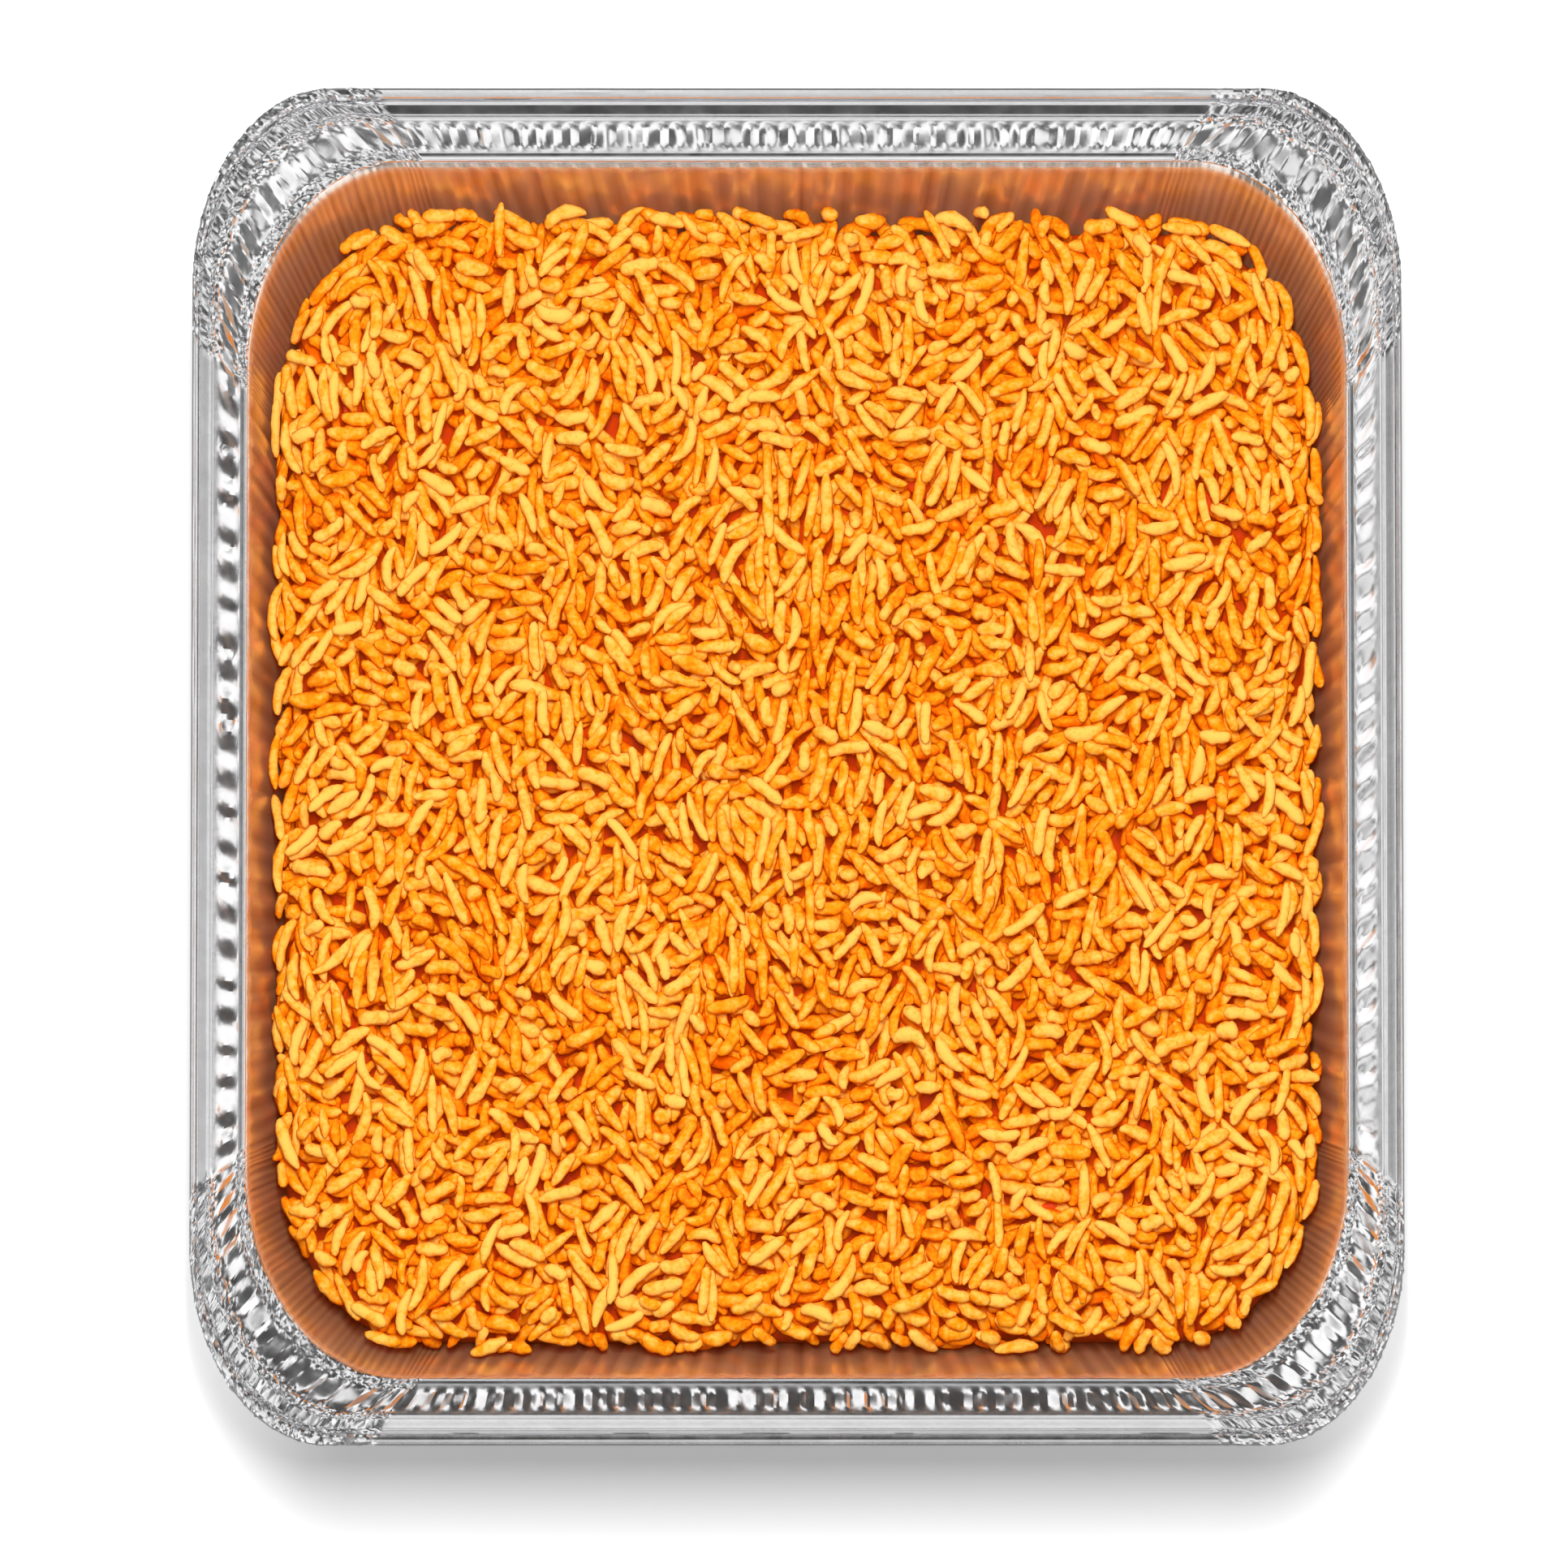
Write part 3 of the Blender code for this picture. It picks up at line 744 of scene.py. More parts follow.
class Heap:
    """The heap as a map of heights over the plan, and the grains that made it.

    A grain stands over what it lies on by a share of its radius. A place or a rest that can't be
    used is worth never.
    """

    cell = 0.5
    core_under = 8.0
    wall_gap = 0.3
    corner_room = 6.0
    edge_room = 1.2
    clump_height = 0.75
    standing = 0.60
    steepest = 0.8
    never = 99.0
    parts = np.linspace(-1, 1, 9)
    pairs = np.array([(i, j) for i in range(4) for j in range(5, 9)])

    def __init__(self, seed):
        self.draw = np.random.default_rng(seed)
        self.half, self.corner = wall_section(HEAP_EDGE)
        self.size = np.ceil(2 * self.half / self.cell).astype(int) + 8
        self.low = -0.5 * self.size * self.cell
        self.grid_x, self.grid_y = np.meshgrid(
            self.low[0] + (np.arange(self.size[0]) + 0.5) * self.cell,
            self.low[1] + (np.arange(self.size[1]) + 0.5) * self.cell,
            indexing="ij",
        )
        clumps = np.sin(0.42 * self.grid_x + 1.3 * np.sin(0.31 * self.grid_y))
        clumps = clumps * np.sin(0.47 * self.grid_y + 1.5 * np.sin(0.27 * self.grid_x))
        self.target = heap_height(self.grid_x, self.grid_y) + self.clump_height * clumps
        self.open = wall_clearance(self.grid_x, self.grid_y, HEAP_EDGE) > self.edge_room
        self.height = self.target - self.core_under
        self.owner = np.full(self.height.shape, -1)
        self.grains = []

    def at(self, x, y):
        """Indices of the map's cells under some places."""
        column = np.clip(((x - self.low[0]) / self.cell).astype(int), 0, self.size[0] - 1)
        row = np.clip(((y - self.low[1]) / self.cell).astype(int), 0, self.size[1] - 1)
        return column, row

    def low_places(self, tries, wanted):
        """The places, of some drawn at random, where the heap is furthest under its target."""
        x = self.draw.uniform(-self.half[0], self.half[0], tries)
        y = self.draw.uniform(-self.half[1], self.half[1], tries)
        cells = self.at(x, y)
        short = np.where(self.open[cells], self.target[cells] - self.height[cells], -self.never)
        best = np.argsort(-short)[:wanted]
        return x[best], y[best]

    def corner_gap(self, x, y):
        """Room that the rice leaves in a corner: a width times the shares of both radii past its centre."""
        past = np.maximum(np.abs(np.stack([x, y], axis=-1)) - (self.half - self.corner), 0) / self.corner
        return self.corner_room * past.prod(axis=-1)

    def rest(self, x, y, yaw, length, radius, bow, prop):
        """Height at the middle, slope and worst wall gap of some grains let down at their places.

        A grain is a rod over the high points under it. Of all lines through one point on each side
        of its middle, it lies on the one that is highest at its middle. A prop tips it further.
        """
        along = np.stack([np.cos(yaw), np.sin(yaw)])[:, :, None]
        s = 0.5 * length[:, None] * self.parts
        sag = bow[:, None] * (1 - self.parts**2)
        px = x[:, None] + along[0] * s - along[1] * sag
        py = y[:, None] + along[1] * s + along[0] * sag
        under = []
        for share in (-0.7, 0.0, 0.7):
            off = share * radius[:, None]
            under.append(self.height[self.at(px - along[1] * off, py + along[0] * off)])
        need = np.max(under, axis=0) + self.standing * radius[:, None] * grain_taper(self.parts)
        left, right = self.pairs.T
        gap = s[:, right] - s[:, left]
        at_middle = (need[:, left] * s[:, right] - need[:, right] * s[:, left]) / gap
        best = np.argmax(at_middle, axis=1)
        rows = np.arange(len(best))
        slope = ((need[:, right] - need[:, left]) / gap)[rows, best]
        slope = np.clip(slope, -self.steepest, self.steepest) + prop
        level = 1 / np.sqrt(1 + slope**2)
        touching = np.abs(self.parts) < level[:, None] + 0.1
        middle = np.max(np.where(touching, need - slope[:, None] * s, -self.never), axis=1)
        height = middle[:, None] + slope[:, None] * s
        clear = wall_clearance(px, py, height) - radius[:, None] * grain_taper(self.parts)
        clear = clear - self.corner_gap(px, py)
        return middle, slope, level, clear.min(axis=1) - self.wall_gap

    def stamp(self, x, y, middle, yaw, slope, length, radius, bow):
        """Raises the map to the grain's upper face, a half circle across its slanting axis."""
        reach = 0.5 * length + radius
        x0, y0 = self.at(np.array(x - reach), np.array(y - reach))
        x1, y1 = self.at(np.array(x + reach), np.array(y + reach))
        window = (slice(int(x0), int(x1) + 1), slice(int(y0), int(y1) + 1))
        dx, dy = self.grid_x[window] - x, self.grid_y[window] - y
        s = dx * math.cos(yaw) + dy * math.sin(yaw)
        part = 2 * s / length
        off = dy * math.cos(yaw) - dx * math.sin(yaw) - bow * (1 - part**2)
        across = (radius * grain_taper(np.clip(part, -1, 1))) ** 2 - off**2
        top = middle + slope * s + np.sqrt(np.maximum(across, 0))
        raised = (across > 0) & (top > self.height[window])
        self.height[window] = np.where(raised, top, self.height[window])
        self.owner[window] = np.where(raised, len(self.grains), self.owner[window])

    def press_in(self, x, y, size):
        """Makes room for a bit of pepper and returns the height of its middle."""
        near = np.hypot(self.grid_x - x, self.grid_y - y) < size
        middle = float(self.height[near].mean())
        self.height[near] = np.maximum(self.height[near], middle + 0.6)
        self.owner[near] = -1
        return middle


def fill_heap(sizes):
    """Drops grains until the heap reaches its target, and sets in the bits of pepper on the way.

    Each grain takes the lowest of several places and directions. Some follow the grain they fall
    on, which makes bundles. Grains along the tray are longer and thinner than those across it.
    """
    heap = Heap(sizes.seed)
    draw = heap.draw
    pepper = []
    missed = 0
    while len(heap.grains) < sizes.grain_count and missed < MISSES:
        if not pepper and len(heap.grains) > PEPPER_LEVEL * sizes.grain_count:
            pepper = [(x, y, heap.press_in(x, y, PEPPER_ROOM)) for x, y in PEPPER_PLACES]
        x, y = heap.low_places(3 * TRIES, TRIES)
        turn = draw.uniform(0, math.pi, TRIES)
        yaw = np.arctan2(ALONG_TRAY * np.sin(turn), np.cos(turn))
        owners = heap.owner[heap.at(x, y)]
        for index in np.flatnonzero((owners >= 0) & (draw.random(TRIES) < BUNDLED)):
            yaw[index] = heap.grains[owners[index]][3] + draw.normal(0, FOLLOW_SPREAD)
        lengthwise = -np.cos(2 * yaw)
        short = np.where(draw.random(TRIES) < BROKEN, draw.uniform(*BROKEN_LENGTHS), 1.0)
        length = sizes.grain_length * (1 + LONGER_ALONG * lengthwise)
        length = length * draw.uniform(*LENGTH_RANGE, TRIES) * short
        radius = sizes.grain_radius * (1 - THINNER_ALONG * lengthwise) * draw.uniform(*RADIUS_RANGE, TRIES)
        bow = draw.normal(0, BEND_SPREAD, TRIES) * length
        prop = np.where(draw.random(TRIES) < PROPPED, draw.uniform(*PROP_SLOPES, TRIES), 0.0)
        middle, slope, level, clear = heap.rest(x, y, yaw, length, radius, bow, prop)
        length = length * level
        over = middle - heap.target[heap.at(x, y)] + STEEP_COST * np.abs(slope) * length
        over = np.where(clear > 0, over, heap.never)
        best = int(np.argmin(over))
        if over[best] > draw.uniform(*OVER_ALLOWED):
            missed += 1
            continue
        missed = 0
        grain = [column[best] for column in (x, y, middle, yaw, slope, length, radius, bow)]
        heap.stamp(*grain)
        heap.grains.append(grain)
    return heap, pepper


def grain_mesh(name, grains, sides, stations, material, seed):
    """All grains of one kind as one mesh.

    A grain is a bent tube: its axis is a parabola in its own plane, its radius tapers as the root of
    one less a power of its place, and its section is an ellipse with a groove drawn in along one
    side. Stations lie at the cosines of even angles, closer together towards the round ends.
    """
    draw = np.random.default_rng(seed)
    count = len(grains)
    x, y, z, yaw, slope, length, radius, bow = (column[:, None, None] for column in np.array(grains).T)

    def each(low, high):
        return draw.uniform(low, high, (count, 1, 1))

    part = -np.cos(np.linspace(0, math.pi, stations + 2)[1:-1])[None, :, None]
    roll = each(0, 2 * math.pi)
    angle = np.linspace(0, 2 * math.pi, sides, endpoint=False)[None, None, :] + roll
    taper = np.sqrt(np.maximum(1 - np.abs(part) ** each(2.2, 5.0), 0))
    lumps = 1 + 0.10 * np.sin(part * each(2, 7) + each(0, 6)) + 0.08 * np.sin(part * each(6, 11) + 2 * angle)
    swell = 1 + each(-0.13, 0.13) * part
    groove = 1 - 0.13 * np.maximum(np.cos(angle - roll - 1.0), 0) ** 4
    local = radius * taper * lumps * swell * groove
    off_side = local * np.cos(angle)
    off_up = local * np.sin(angle) * each(0.80, 0.97)
    s = 0.5 * length * part
    side_shift = bow * (1 - part**2) + each(-0.3, 0.3) * part**3 + off_side
    arch = each(-0.35, 0.25) * (1 - part**2)
    level = 1 / np.sqrt(1 + slope**2)
    run = s - off_up * slope * level
    px = x + np.cos(yaw) * run - np.sin(yaw) * side_shift
    py = y + np.sin(yaw) * run + np.cos(yaw) * side_shift
    pz = z + slope * s + off_up * level + arch
    body = np.stack(np.broadcast_arrays(px, py, pz), axis=-1).reshape(count, -1, 3)
    tips = []
    for sign in (-1, 1):
        reach = sign * 0.5 * length
        tip = np.stack([x + np.cos(yaw) * reach, y + np.sin(yaw) * reach, z + slope * reach], axis=-1)
        tips.append(tip.reshape(count, 1, 3))
    points = np.concatenate([body, *tips], axis=1)

    triangles = capped_triangles(stations, sides)
    per_grain = points.shape[1]
    every_triangle = (triangles[None] + (np.arange(count) * per_grain)[:, None, None]).reshape(-1, 3)
    piece = mesh_from(name, points.reshape(-1, 3), every_triangle, material)
    add_attribute(piece, "tone", np.repeat(draw.uniform(0, 1, count), per_grain))
    # Painted shade: grains lower in the heap get a deeper colour
    depth = heap_height(x.ravel(), y.ravel()) - z.ravel()
    add_attribute(piece, "painted_height_shade", np.repeat(np.clip(1 - depth / SHADE_DEPTH, 0, 1), per_grain))
    return piece


def core_mesh(columns, material):
    """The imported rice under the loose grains, from the base up the wall and over its bumpy top.

    The top follows the heap, less a depth, with bumps from a product of two bent sines.
    """
    base_height, foot_gap = 1.2, 0.8
    top_edge = HEAP_EDGE - Heap.core_under
    sections = [(CORE_FOOT, foot_gap, share, base_height) for share in (0.05, 0.5, 0.94)]
    sections += [(level, CORE_GAP, 1.0, level) for level in np.linspace(CORE_FOOT, top_edge, 8)]
    sections += [(top_edge, CORE_GAP, share, None) for share in np.linspace(0.99, 0.02, 60)]
    rings = []
    for section_height, gap, share, level in sections:
        half, radius = wall_section(section_height)
        x, y = columns.outline((half - gap) * share, radius * share)[0].T
        if level is None:
            bumps = np.sin(2.3 * x + 1.7 * np.sin(0.9 * y)) * np.sin(2.1 * y + 1.4 * np.sin(0.8 * x))
            level = heap_height(x, y) - Heap.core_under + CORE_BUMP * bumps
        rings.append(np.column_stack([x, y, np.broadcast_to(level, x.shape)]))
    points = np.array(rings)
    return mesh_from("rice_core", *capped_rings(points), material)


def pepper_mesh(places, material):
    """Soft bits of pepper set in between the grains.

    Each is a ball pushed towards a box, by raising each coordinate of its direction to a power
    under one and keeping its sign, then bent and dented by sines.
    """
    draw = np.random.default_rng(PEPPER_SEED)
    count, rings, sides = len(places), 12, 18
    table = np.array(places)[:, None, None, :]
    first_turn = 0.12
    polar = np.linspace(first_turn, math.pi - first_turn, rings)[:, None]
    around = np.linspace(0, 2 * math.pi, sides, endpoint=False)[None, :]
    round_part = (np.sin(polar) * np.cos(around), np.sin(polar) * np.sin(around), np.cos(polar))
    ball = np.stack(np.broadcast_arrays(*round_part), axis=-1)
    box = (np.sign(ball) * np.abs(ball) ** 0.7)[None]
    size = draw.uniform(0.85, 1.15, (count, 1, 1, 3)) * np.array(PEPPER_SIZE)
    shape = box * size
    shape[..., 2] += 0.35 * np.sin(1.6 * shape[..., 0] + draw.uniform(0, 6, (count, 1, 1)))
    shape[..., 1] += 0.3 * np.sin(1.3 * shape[..., 0] + draw.uniform(0, 6, (count, 1, 1)))
    yaw = draw.uniform(0, math.pi, (count, 1, 1))
    turned = [
        shape[..., 0] * np.cos(yaw) - shape[..., 1] * np.sin(yaw),
        shape[..., 0] * np.sin(yaw) + shape[..., 1] * np.cos(yaw),
        shape[..., 2],
    ]
    points = np.stack(turned, axis=-1) + table
    bits = [capped_rings(bit) for bit in points]
    shift = rings * sides + 2
    every_point = np.concatenate([bit[0] for bit in bits])
    every_triangle = np.concatenate([bit[1] + index * shift for index, bit in enumerate(bits)])
    return mesh_from("pepper_bits", every_point, every_triangle, material)


# Materials


def add_node(tree, kind, inputs=(), **settings):
    """A node with its settings, and its inputs either set to a value or linked to an output."""
    node = tree.nodes.new(kind)
    for name, value in settings.items():
        setattr(node, name, value)
    for name, value in dict(inputs).items():
        if isinstance(value, bpy.types.NodeSocket):
            tree.links.new(value, node.inputs[name])
        else:
            node.inputs[name].default_value = value
    return node


def math_node(tree, operation, *values):
    """What an operation makes of some numbers and outputs."""
    return add_node(tree, "ShaderNodeMath", enumerate(values), operation=operation).outputs["Value"]


def span(tree, value, low, high, start, end, **settings):
    """A number taken from one range to another and held inside it."""
    ends = {"Value": value, "From Min": low, "From Max": high, "To Min": start, "To Max": end}
    return add_node(tree, "ShaderNodeMapRange", ends, **settings).outputs["Result"]


def stored(tree, name):
    """A number that the mesh holds for each vertex."""
    return add_node(tree, "ShaderNodeAttribute", attribute_name=name).outputs["Fac"]


def is_mirrored(tree):
    """One where a mirror sees the surface or the studio, and zero elsewhere."""
    return add_node(tree, "ShaderNodeLightPath").outputs["Is Glossy Ray"]


def new_material(name):
    """An empty node material with its output and its shader."""
    material = bpy.data.materials.new(name)
    material.use_nodes = True
    tree = material.node_tree
    tree.nodes.clear()
    shader = add_node(tree, "ShaderNodeBsdfPrincipled")
    add_node(tree, "ShaderNodeOutputMaterial", {"Surface": shader.outputs["BSDF"]})
    return material, tree, shader


def uneven_group():
    """A group that every finish uses: mottling between two values, and the height it comes from."""
    group = bpy.data.node_groups.new("uneven_surface", "ShaderNodeTree")
    for name in ("Scale", "Low", "High"):
        group.interface.new_socket(name=name, in_out="INPUT", socket_type="NodeSocketFloat")
    for name in ("Value", "Height"):
        group.interface.new_socket(name=name, in_out="OUTPUT", socket_type="NodeSocketFloat")
    entry = add_node(group, "NodeGroupInput")
    place = add_node(group, "ShaderNodeTexCoord")
    noise = {"Vector": place.outputs["Object"], "Scale": entry.outputs["Scale"], "Detail": 4.0}
    noise = add_node(group, "ShaderNodeTexNoise", noise).outputs["Fac"]
    spread = span(group, noise, 0.3, 0.7, entry.outputs["Low"], entry.outputs["High"])
    add_node(group, "NodeGroupOutput", {"Value": spread, "Height": noise})
    return group


def uneven(tree, scale, low=0.0, high=1.0):
    """One use of the shared group with its own values."""
    group = bpy.data.node_groups.get("uneven_surface") or uneven_group()
    node = add_node(tree, "ShaderNodeGroup", node_tree=group)
    for name, value in (("Scale", scale), ("Low", low), ("High", high)):
        node.inputs[name].default_value = value
    return node.outputs


def mix_colours(tree, first, second, factor):
    """Two colours, or a colour and another mix, mixed by a factor."""
    node = add_node(tree, "ShaderNodeMix", data_type="RGBA")
    for socket, value in zip([s for s in node.inputs if s.type == "RGBA"], (first, second)):
        if isinstance(value, bpy.types.NodeSocket):
            tree.links.new(value, socket)
        else:
            socket.default_value = (*value, 1.0)
    tree.links.new(factor, node.inputs["Factor"])
    return next(socket for socket in node.outputs if socket.type == "RGBA")


def bump_from(tree, shader, height, strength, distance):
    """Feeds a height into the shader's normal."""
    bump = add_node(tree, "ShaderNodeBump", {"Strength": strength, "Distance": distance, "Height": height})
    tree.links.new(bump.outputs["Normal"], shader.inputs["Normal"])


def foil_material(colours):
    """Bright rolled aluminium, uneven in polish. On the inside is an orange layer: a painted reflection of
    the rice with stripes of painted shade along the pleats, and the roughness and dullness of oil.
    """
    material, tree, shader = new_material("bright_foil")
    oil_and_reflection = stored(tree, "oil_and_reflection")
    # Painted reflection of the rice, with painted shade along the pleats, mixed into the foil's colour
    stained = mix_colours(tree, colours.oil_and_reflection, colours.painted_stripe_shade, stored(tree, "stripe_shade_amount"))
    oily = mix_colours(tree, colours.foil, stained, oil_and_reflection)
    dark_foil = [0.8 * part for part in colours.foil]
    shade = mix_colours(tree, oily, dark_foil, uneven(tree, 120, 0.0, 0.25)["Value"])
    polish = uneven(tree, 260, *FOIL_ROUGHNESS)["Value"]
    roughness = math_node(tree, "MULTIPLY_ADD", oil_and_reflection, FILM_ROUGHNESS, polish)
    metal = math_node(tree, "MULTIPLY_ADD", oil_and_reflection, -FILM_COVER, 1.0)
    for name, value in (("Base Color", shade), ("Roughness", roughness), ("Metallic", metal)):
        tree.links.new(value, shader.inputs[name])
    grain = math_node(tree, "MULTIPLY_ADD", oil_and_reflection, -FOIL_GRAIN, FOIL_GRAIN)
    bump_from(tree, shader, uneven(tree, 700)["Height"], grain, 0.0002)
    return material


def add_painted_glow(shader, colours):
    """Adds a painted glow: emission that lifts a grain's shade, standing in for the little light that
    reaches it from behind, through its neighbours.
    """
    shader.inputs["Emission Color"].default_value = (*colours.glow, 1.0)
    shader.inputs["Emission Strength"].default_value = colours.glow_strength


def grain_material(colours):
    """Cooked grains: each its own tone, with painted shade that deepens them low in the heap and towards
    their edges, speckled, with an oily sheen.
    """
    material, tree, shader = new_material("orange_grain")
    # Painted shade: each grain is pushed towards its deep colour where its surface turns away from view
    edge_shade = add_node(tree, "ShaderNodeLayerWeight", {"Blend": 0.4}).outputs["Facing"]
    share = TONE_START
    painted_height_shade, tone = stored(tree, "painted_height_shade"), stored(tree, "tone")
    for value, weight in ((painted_height_shade, SHADE_BY_HEIGHT), (tone, TONE_BY_GRAIN), (edge_shade, PAINTED_EDGE_SHADE)):
        share = math_node(tree, "MULTIPLY_ADD", value, weight, share)
    for scale, spread in TONE_MOTTLING:
        share = math_node(tree, "ADD", share, uneven(tree, scale, -spread, spread)["Value"])
    ramp = add_node(tree, "ShaderNodeValToRGB", {"Fac": share})
    stops = ramp.color_ramp.elements
    stops[0].position, stops[0].color = 0.08, (*colours.grain_deep, 1.0)
    stops[1].position, stops[1].color = 0.95, (*colours.grain_light, 1.0)
    stops.new(0.5).color = (*colours.grain_middle, 1.0)
    tree.links.new(ramp.outputs["Color"], shader.inputs["Base Color"])
    tree.links.new(uneven(tree, 300, 0.36, 0.55)["Value"], shader.inputs["Roughness"])
    shader.inputs["Specular IOR Level"].default_value = 0.15
    add_painted_glow(shader, colours)
    bump_from(tree, shader, uneven(tree, 900)["Height"], 0.35, 0.0004)
    return material


def moist_material(name, colour, roughness):
    """A moist, mottled food colour."""
    material, tree, shader = new_material(name)
    mottled = mix_colours(tree, [0.75 * part for part in colour], colour, uneven(tree, 350)["Value"])
    tree.links.new(mottled, shader.inputs["Base Color"])
    polish = uneven(tree, 500, roughness - 0.08, roughness + 0.08)["Value"]
    tree.links.new(polish, shader.inputs["Roughness"])
    bump_from(tree, shader, uneven(tree, 800)["Height"], 0.4, 0.0004)
    return material, shader


def floor_material():
    """A pale matt floor that glows evenly but for the tray's shadow, and that mirrors see as dark."""
    material, tree, shader = new_material("pale_floor")
    pale = mix_colours(tree, (0.90, 0.90, 0.90), (0.93, 0.93, 0.93), uneven(tree, 3)["Value"])
    seen = mix_colours(tree, pale, (0.16, 0.16, 0.16), is_mirrored(tree))
    place = add_node(tree, "ShaderNodeTexCoord").outputs["Object"]
    split = add_node(tree, "ShaderNodeSeparateXYZ", {"Vector": place}).outputs
    sideways = math_node(tree, "ABSOLUTE", split["X"])
    ends = (*SHADOW_SIDE, GLOW_SHADOW, GLOW_OPEN)
    in_front = span(tree, sideways, *ends, interpolation_type="SMOOTHSTEP")
    glow = span(tree, split["Y"], *SHADOW_FRONT, in_front, GLOW_OPEN)
    for name, value in (("Base Color", seen), ("Emission Color", seen), ("Emission Strength", glow)):
        tree.links.new(value, shader.inputs[name])
    shader.inputs["Roughness"].default_value = 0.9
    shader.inputs["Specular IOR Level"].default_value = 0.1
    return material


def studio_world(strength):
    """The studio round the tray, by direction.

    Mirrors see it white overhead, with a dark spot behind the camera and dark patches over the
    corners. Low down they see white and dark upright panels: cosines of the bearing, a slope
    towards the back and noise are added up, and the panel is white over zero. Matt things get a
    plain light instead.
    """
    world = bpy.data.worlds.new("studio")
    world.use_nodes = True
    tree = world.node_tree
    background = tree.nodes["Background"]
    place = add_node(tree, "ShaderNodeTexCoord").outputs["Generated"]
    split = add_node(tree, "ShaderNodeSeparateXYZ", {"Vector": place}).outputs
    patches = {"Vector": place, "Scale": 6.0, "Detail": 0.0}
    patches = add_node(tree, "ShaderNodeTexNoise", patches).outputs["Fac"]

    def uneven_by(height):
        return span(tree, patches, 0.3, 0.7, -height, height)

    bearing = math_node(tree, "ARCTAN2", split["Y"], split["X"])
    spot = add_node(tree, "ShaderNodeVectorMath", {0: place, 1: SPOT_DIRECTION}, operation="DISTANCE")
    overhead = span(tree, spot.outputs["Value"], *SPOT_RIM, *SPOT_STRENGTHS)
    corners = math_node(tree, "COSINE", math_node(tree, "MULTIPLY", bearing, PATCH_COUNT))
    corners = math_node(tree, "ADD", corners, uneven_by(PATCH_UNEVEN))
    beside = span(tree, corners, *PATCH_EDGE, *PATCH_STRENGTHS)
    ring = math_node(tree, "ADD", split["Z"], uneven_by(PATCH_TOP_UNEVEN))
    overhead = math_node(tree, "MULTIPLY", overhead, span(tree, ring, *PATCH_TOP, beside, 1.0))
    bars = math_node(tree, "MULTIPLY_ADD", split["Y"], PANEL_SLOPE, uneven_by(PANEL_UNEVEN))
    for turns, phase, weight in PANEL_WAVES:
        wave = math_node(tree, "COSINE", math_node(tree, "MULTIPLY_ADD", bearing, turns, phase))
        bars = math_node(tree, "MULTIPLY_ADD", wave, weight, bars)
    panels = span(tree, bars, -0.1, 0.1, *PANEL_STRENGTHS)
    mirrored = span(tree, split["Z"], *PANEL_TOP, panels, overhead)
    soft = math_node(tree, "MULTIPLY_ADD", split["Y"], SOFT_SLOPE, SOFT_LIGHT)
    seen = span(tree, is_mirrored(tree), 0.0, 1.0, soft, mirrored)
    tree.links.new(seen, background.inputs["Color"])
    background.inputs["Strength"].default_value = strength
    return world


# Operators


class FOILTRAY_OT_stage(bpy.types.Operator):
    """Make the camera, the floor and the soft studio light"""

    bl_idname = "foiltray.stage"
    bl_label = "Stage"

    def execute(self, context):
        stage = context.scene.foil_tray_stage
        camera = bpy.data.objects.new("camera", bpy.data.cameras.new("camera"))
        context.scene.collection.objects.link(camera)
        context.scene.camera = camera
        camera.data.lens = camera.data.sensor_width * stage.distance / stage.view_height
        camera.data.clip_end = 4 * stage.distance
        aim = Vector((*AIM, TRAY_HIGH.z))
        away = Vector((0, -math.sin(stage.tilt), math.cos(stage.tilt)))
        camera.location = aim + away * stage.distance
        camera.rotation_mode = "QUATERNION"
        camera.rotation_quaternion = (-away).to_track_quat("-Z", "Y")

        corners = FLOOR_REACH * np.array([(-1, -1), (1, -1), (1, 1), (-1, 1)])
        faces = (-FLOOR_DEPTH, -FLOOR_DROP)
        slab = np.array([np.column_stack([corners, np.full(4, height)]) for height in faces]) / MM
        mesh_from("floor", *capped_rings(slab), floor_material())

        key = bpy.data.lights.new("key", "AREA")
        key.shape, key.energy = "RECTANGLE", stage.key_power
        key.size, key.size_y = LAMP_SIZES
        holder = bpy.data.objects.new("key", key)
        holder.location = LAMP_PLACE
        holder.visible_glossy = False
        holder.rotation_mode = "QUATERNION"
        holder.rotation_quaternion = (-holder.location).to_track_quat("-Z", "Y")
        context.scene.collection.objects.link(holder)
        context.scene.world = studio_world(stage.sky_strength)
        context.scene.view_settings.view_transform = "Standard"
        return {"FINISHED"}


class FOILTRAY_OT_tray(bpy.types.Operator):
    """Press the foil tray: its rim with the crimped corners, and its fluted wall with the base"""

    bl_idname = "foiltray.tray"
    bl_label = "Foil tray"

    def execute(self, context):
        sizes = context.scene.foil_tray_sizes
        foil = foil_material(context.scene.foil_tray_colours)
        draw = np.random.default_rng(sizes.seed)
        for build, widths in ((build_rim, RIM_COLUMNS), (build_wall, WALL_COLUMNS)):
            piece = build(sizes, Columns(*widths), draw, foil)
            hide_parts("foil_tray")
            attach(piece, BODY)
        return {"FINISHED"}


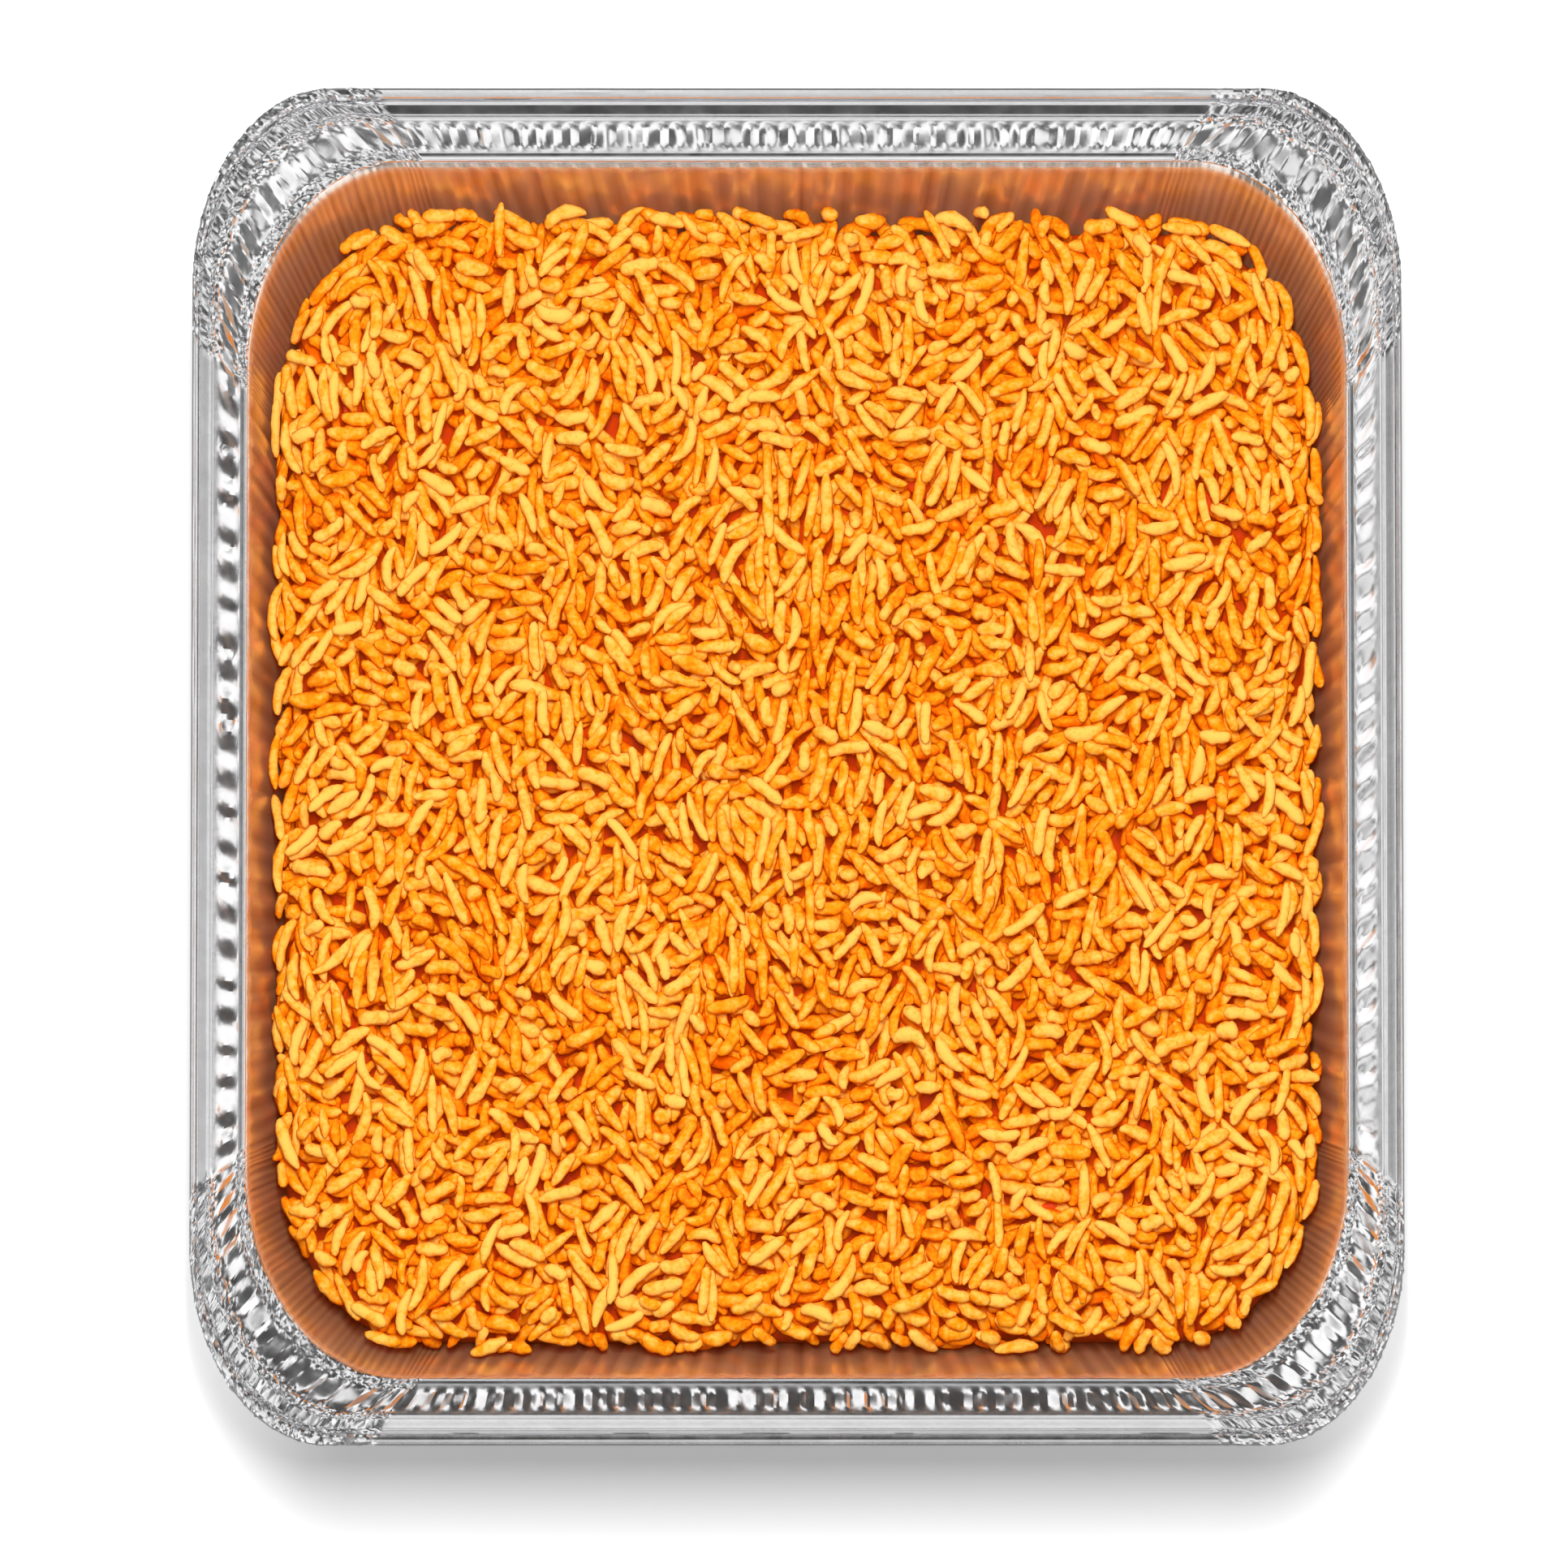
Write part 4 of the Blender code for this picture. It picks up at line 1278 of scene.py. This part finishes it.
class FOILTRAY_OT_rice(bpy.types.Operator):
    """Fill the tray: drop every grain onto the core, and set the bits of pepper between them"""

    bl_idname = "foiltray.rice"
    bl_label = "Rice"

    def execute(self, context):
        sizes = context.scene.foil_tray_rice
        colours = context.scene.foil_tray_colours
        heap, pepper = fill_heap(sizes)
        seen = np.bincount(heap.owner[heap.owner >= 0].ravel(), minlength=len(heap.grains))
        order = np.argsort(-seen, kind="stable")
        shown = [heap.grains[index] for index in order if seen[index] > 0]
        grain = grain_material(colours)
        # Painted shade: the core's deep colour stands for the shade in the gaps between the grains
        core, core_shader = moist_material("core_painted_shade", colours.core, 0.5)
        # The core gets the same painted glow
        add_painted_glow(core_shader, colours)
        made = [core_mesh(Columns(*CORE_COLUMNS), core)]
        start = 0
        for seed, (name, sides, stations, most) in enumerate(GRAIN_KINDS):
            grains = shown[start:start + most]
            start += most
            if grains:
                made.append(grain_mesh(name, grains, sides, stations, grain, seed))
        if pepper:
            made.append(pepper_mesh(pepper, moist_material("red_pepper", colours.pepper, 0.35)[0]))
        for piece in made:
            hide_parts("rice")
            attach(piece, BODY)
        return {"FINISHED"}


class FOILTRAY_PT_panel(bpy.types.Panel):
    """Lists the steps that build the tray and its rice"""

    bl_idname = "FOILTRAY_PT_panel"
    bl_label = "Foil tray of rice"
    bl_space_type = "VIEW_3D"
    bl_region_type = "UI"
    bl_category = "Foil Tray"

    def draw(self, context):
        for operator in OPERATORS:
            self.layout.operator(operator.bl_idname)
        for group in SETTINGS:
            settings = getattr(context.scene, group)
            for name in settings.bl_rna.properties.keys():
                if name not in ("rna_type", "name"):
                    self.layout.prop(settings, name)


OPERATORS = (FOILTRAY_OT_stage, FOILTRAY_OT_tray, FOILTRAY_OT_rice)
SETTINGS = {
    "foil_tray_sizes": FoilTraySizes,
    "foil_tray_rice": FoilTrayRice,
    "foil_tray_colours": FoilTrayColours,
    "foil_tray_stage": FoilTrayStage,
}


def register():
    for kind in (*SETTINGS.values(), *OPERATORS, FOILTRAY_PT_panel):
        bpy.utils.register_class(kind)
    for name, kind in SETTINGS.items():
        setattr(bpy.types.Scene, name, PointerProperty(type=kind))


def unregister():
    for name in SETTINGS:
        delattr(bpy.types.Scene, name)
    for kind in reversed((*SETTINGS.values(), *OPERATORS, FOILTRAY_PT_panel)):
        bpy.utils.unregister_class(kind)


def main():
    """Registers the add-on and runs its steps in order."""
    register()
    bpy.ops.foiltray.stage()
    bpy.ops.foiltray.tray()
    bpy.ops.foiltray.rice()


if __name__ == "__main__":
    main()
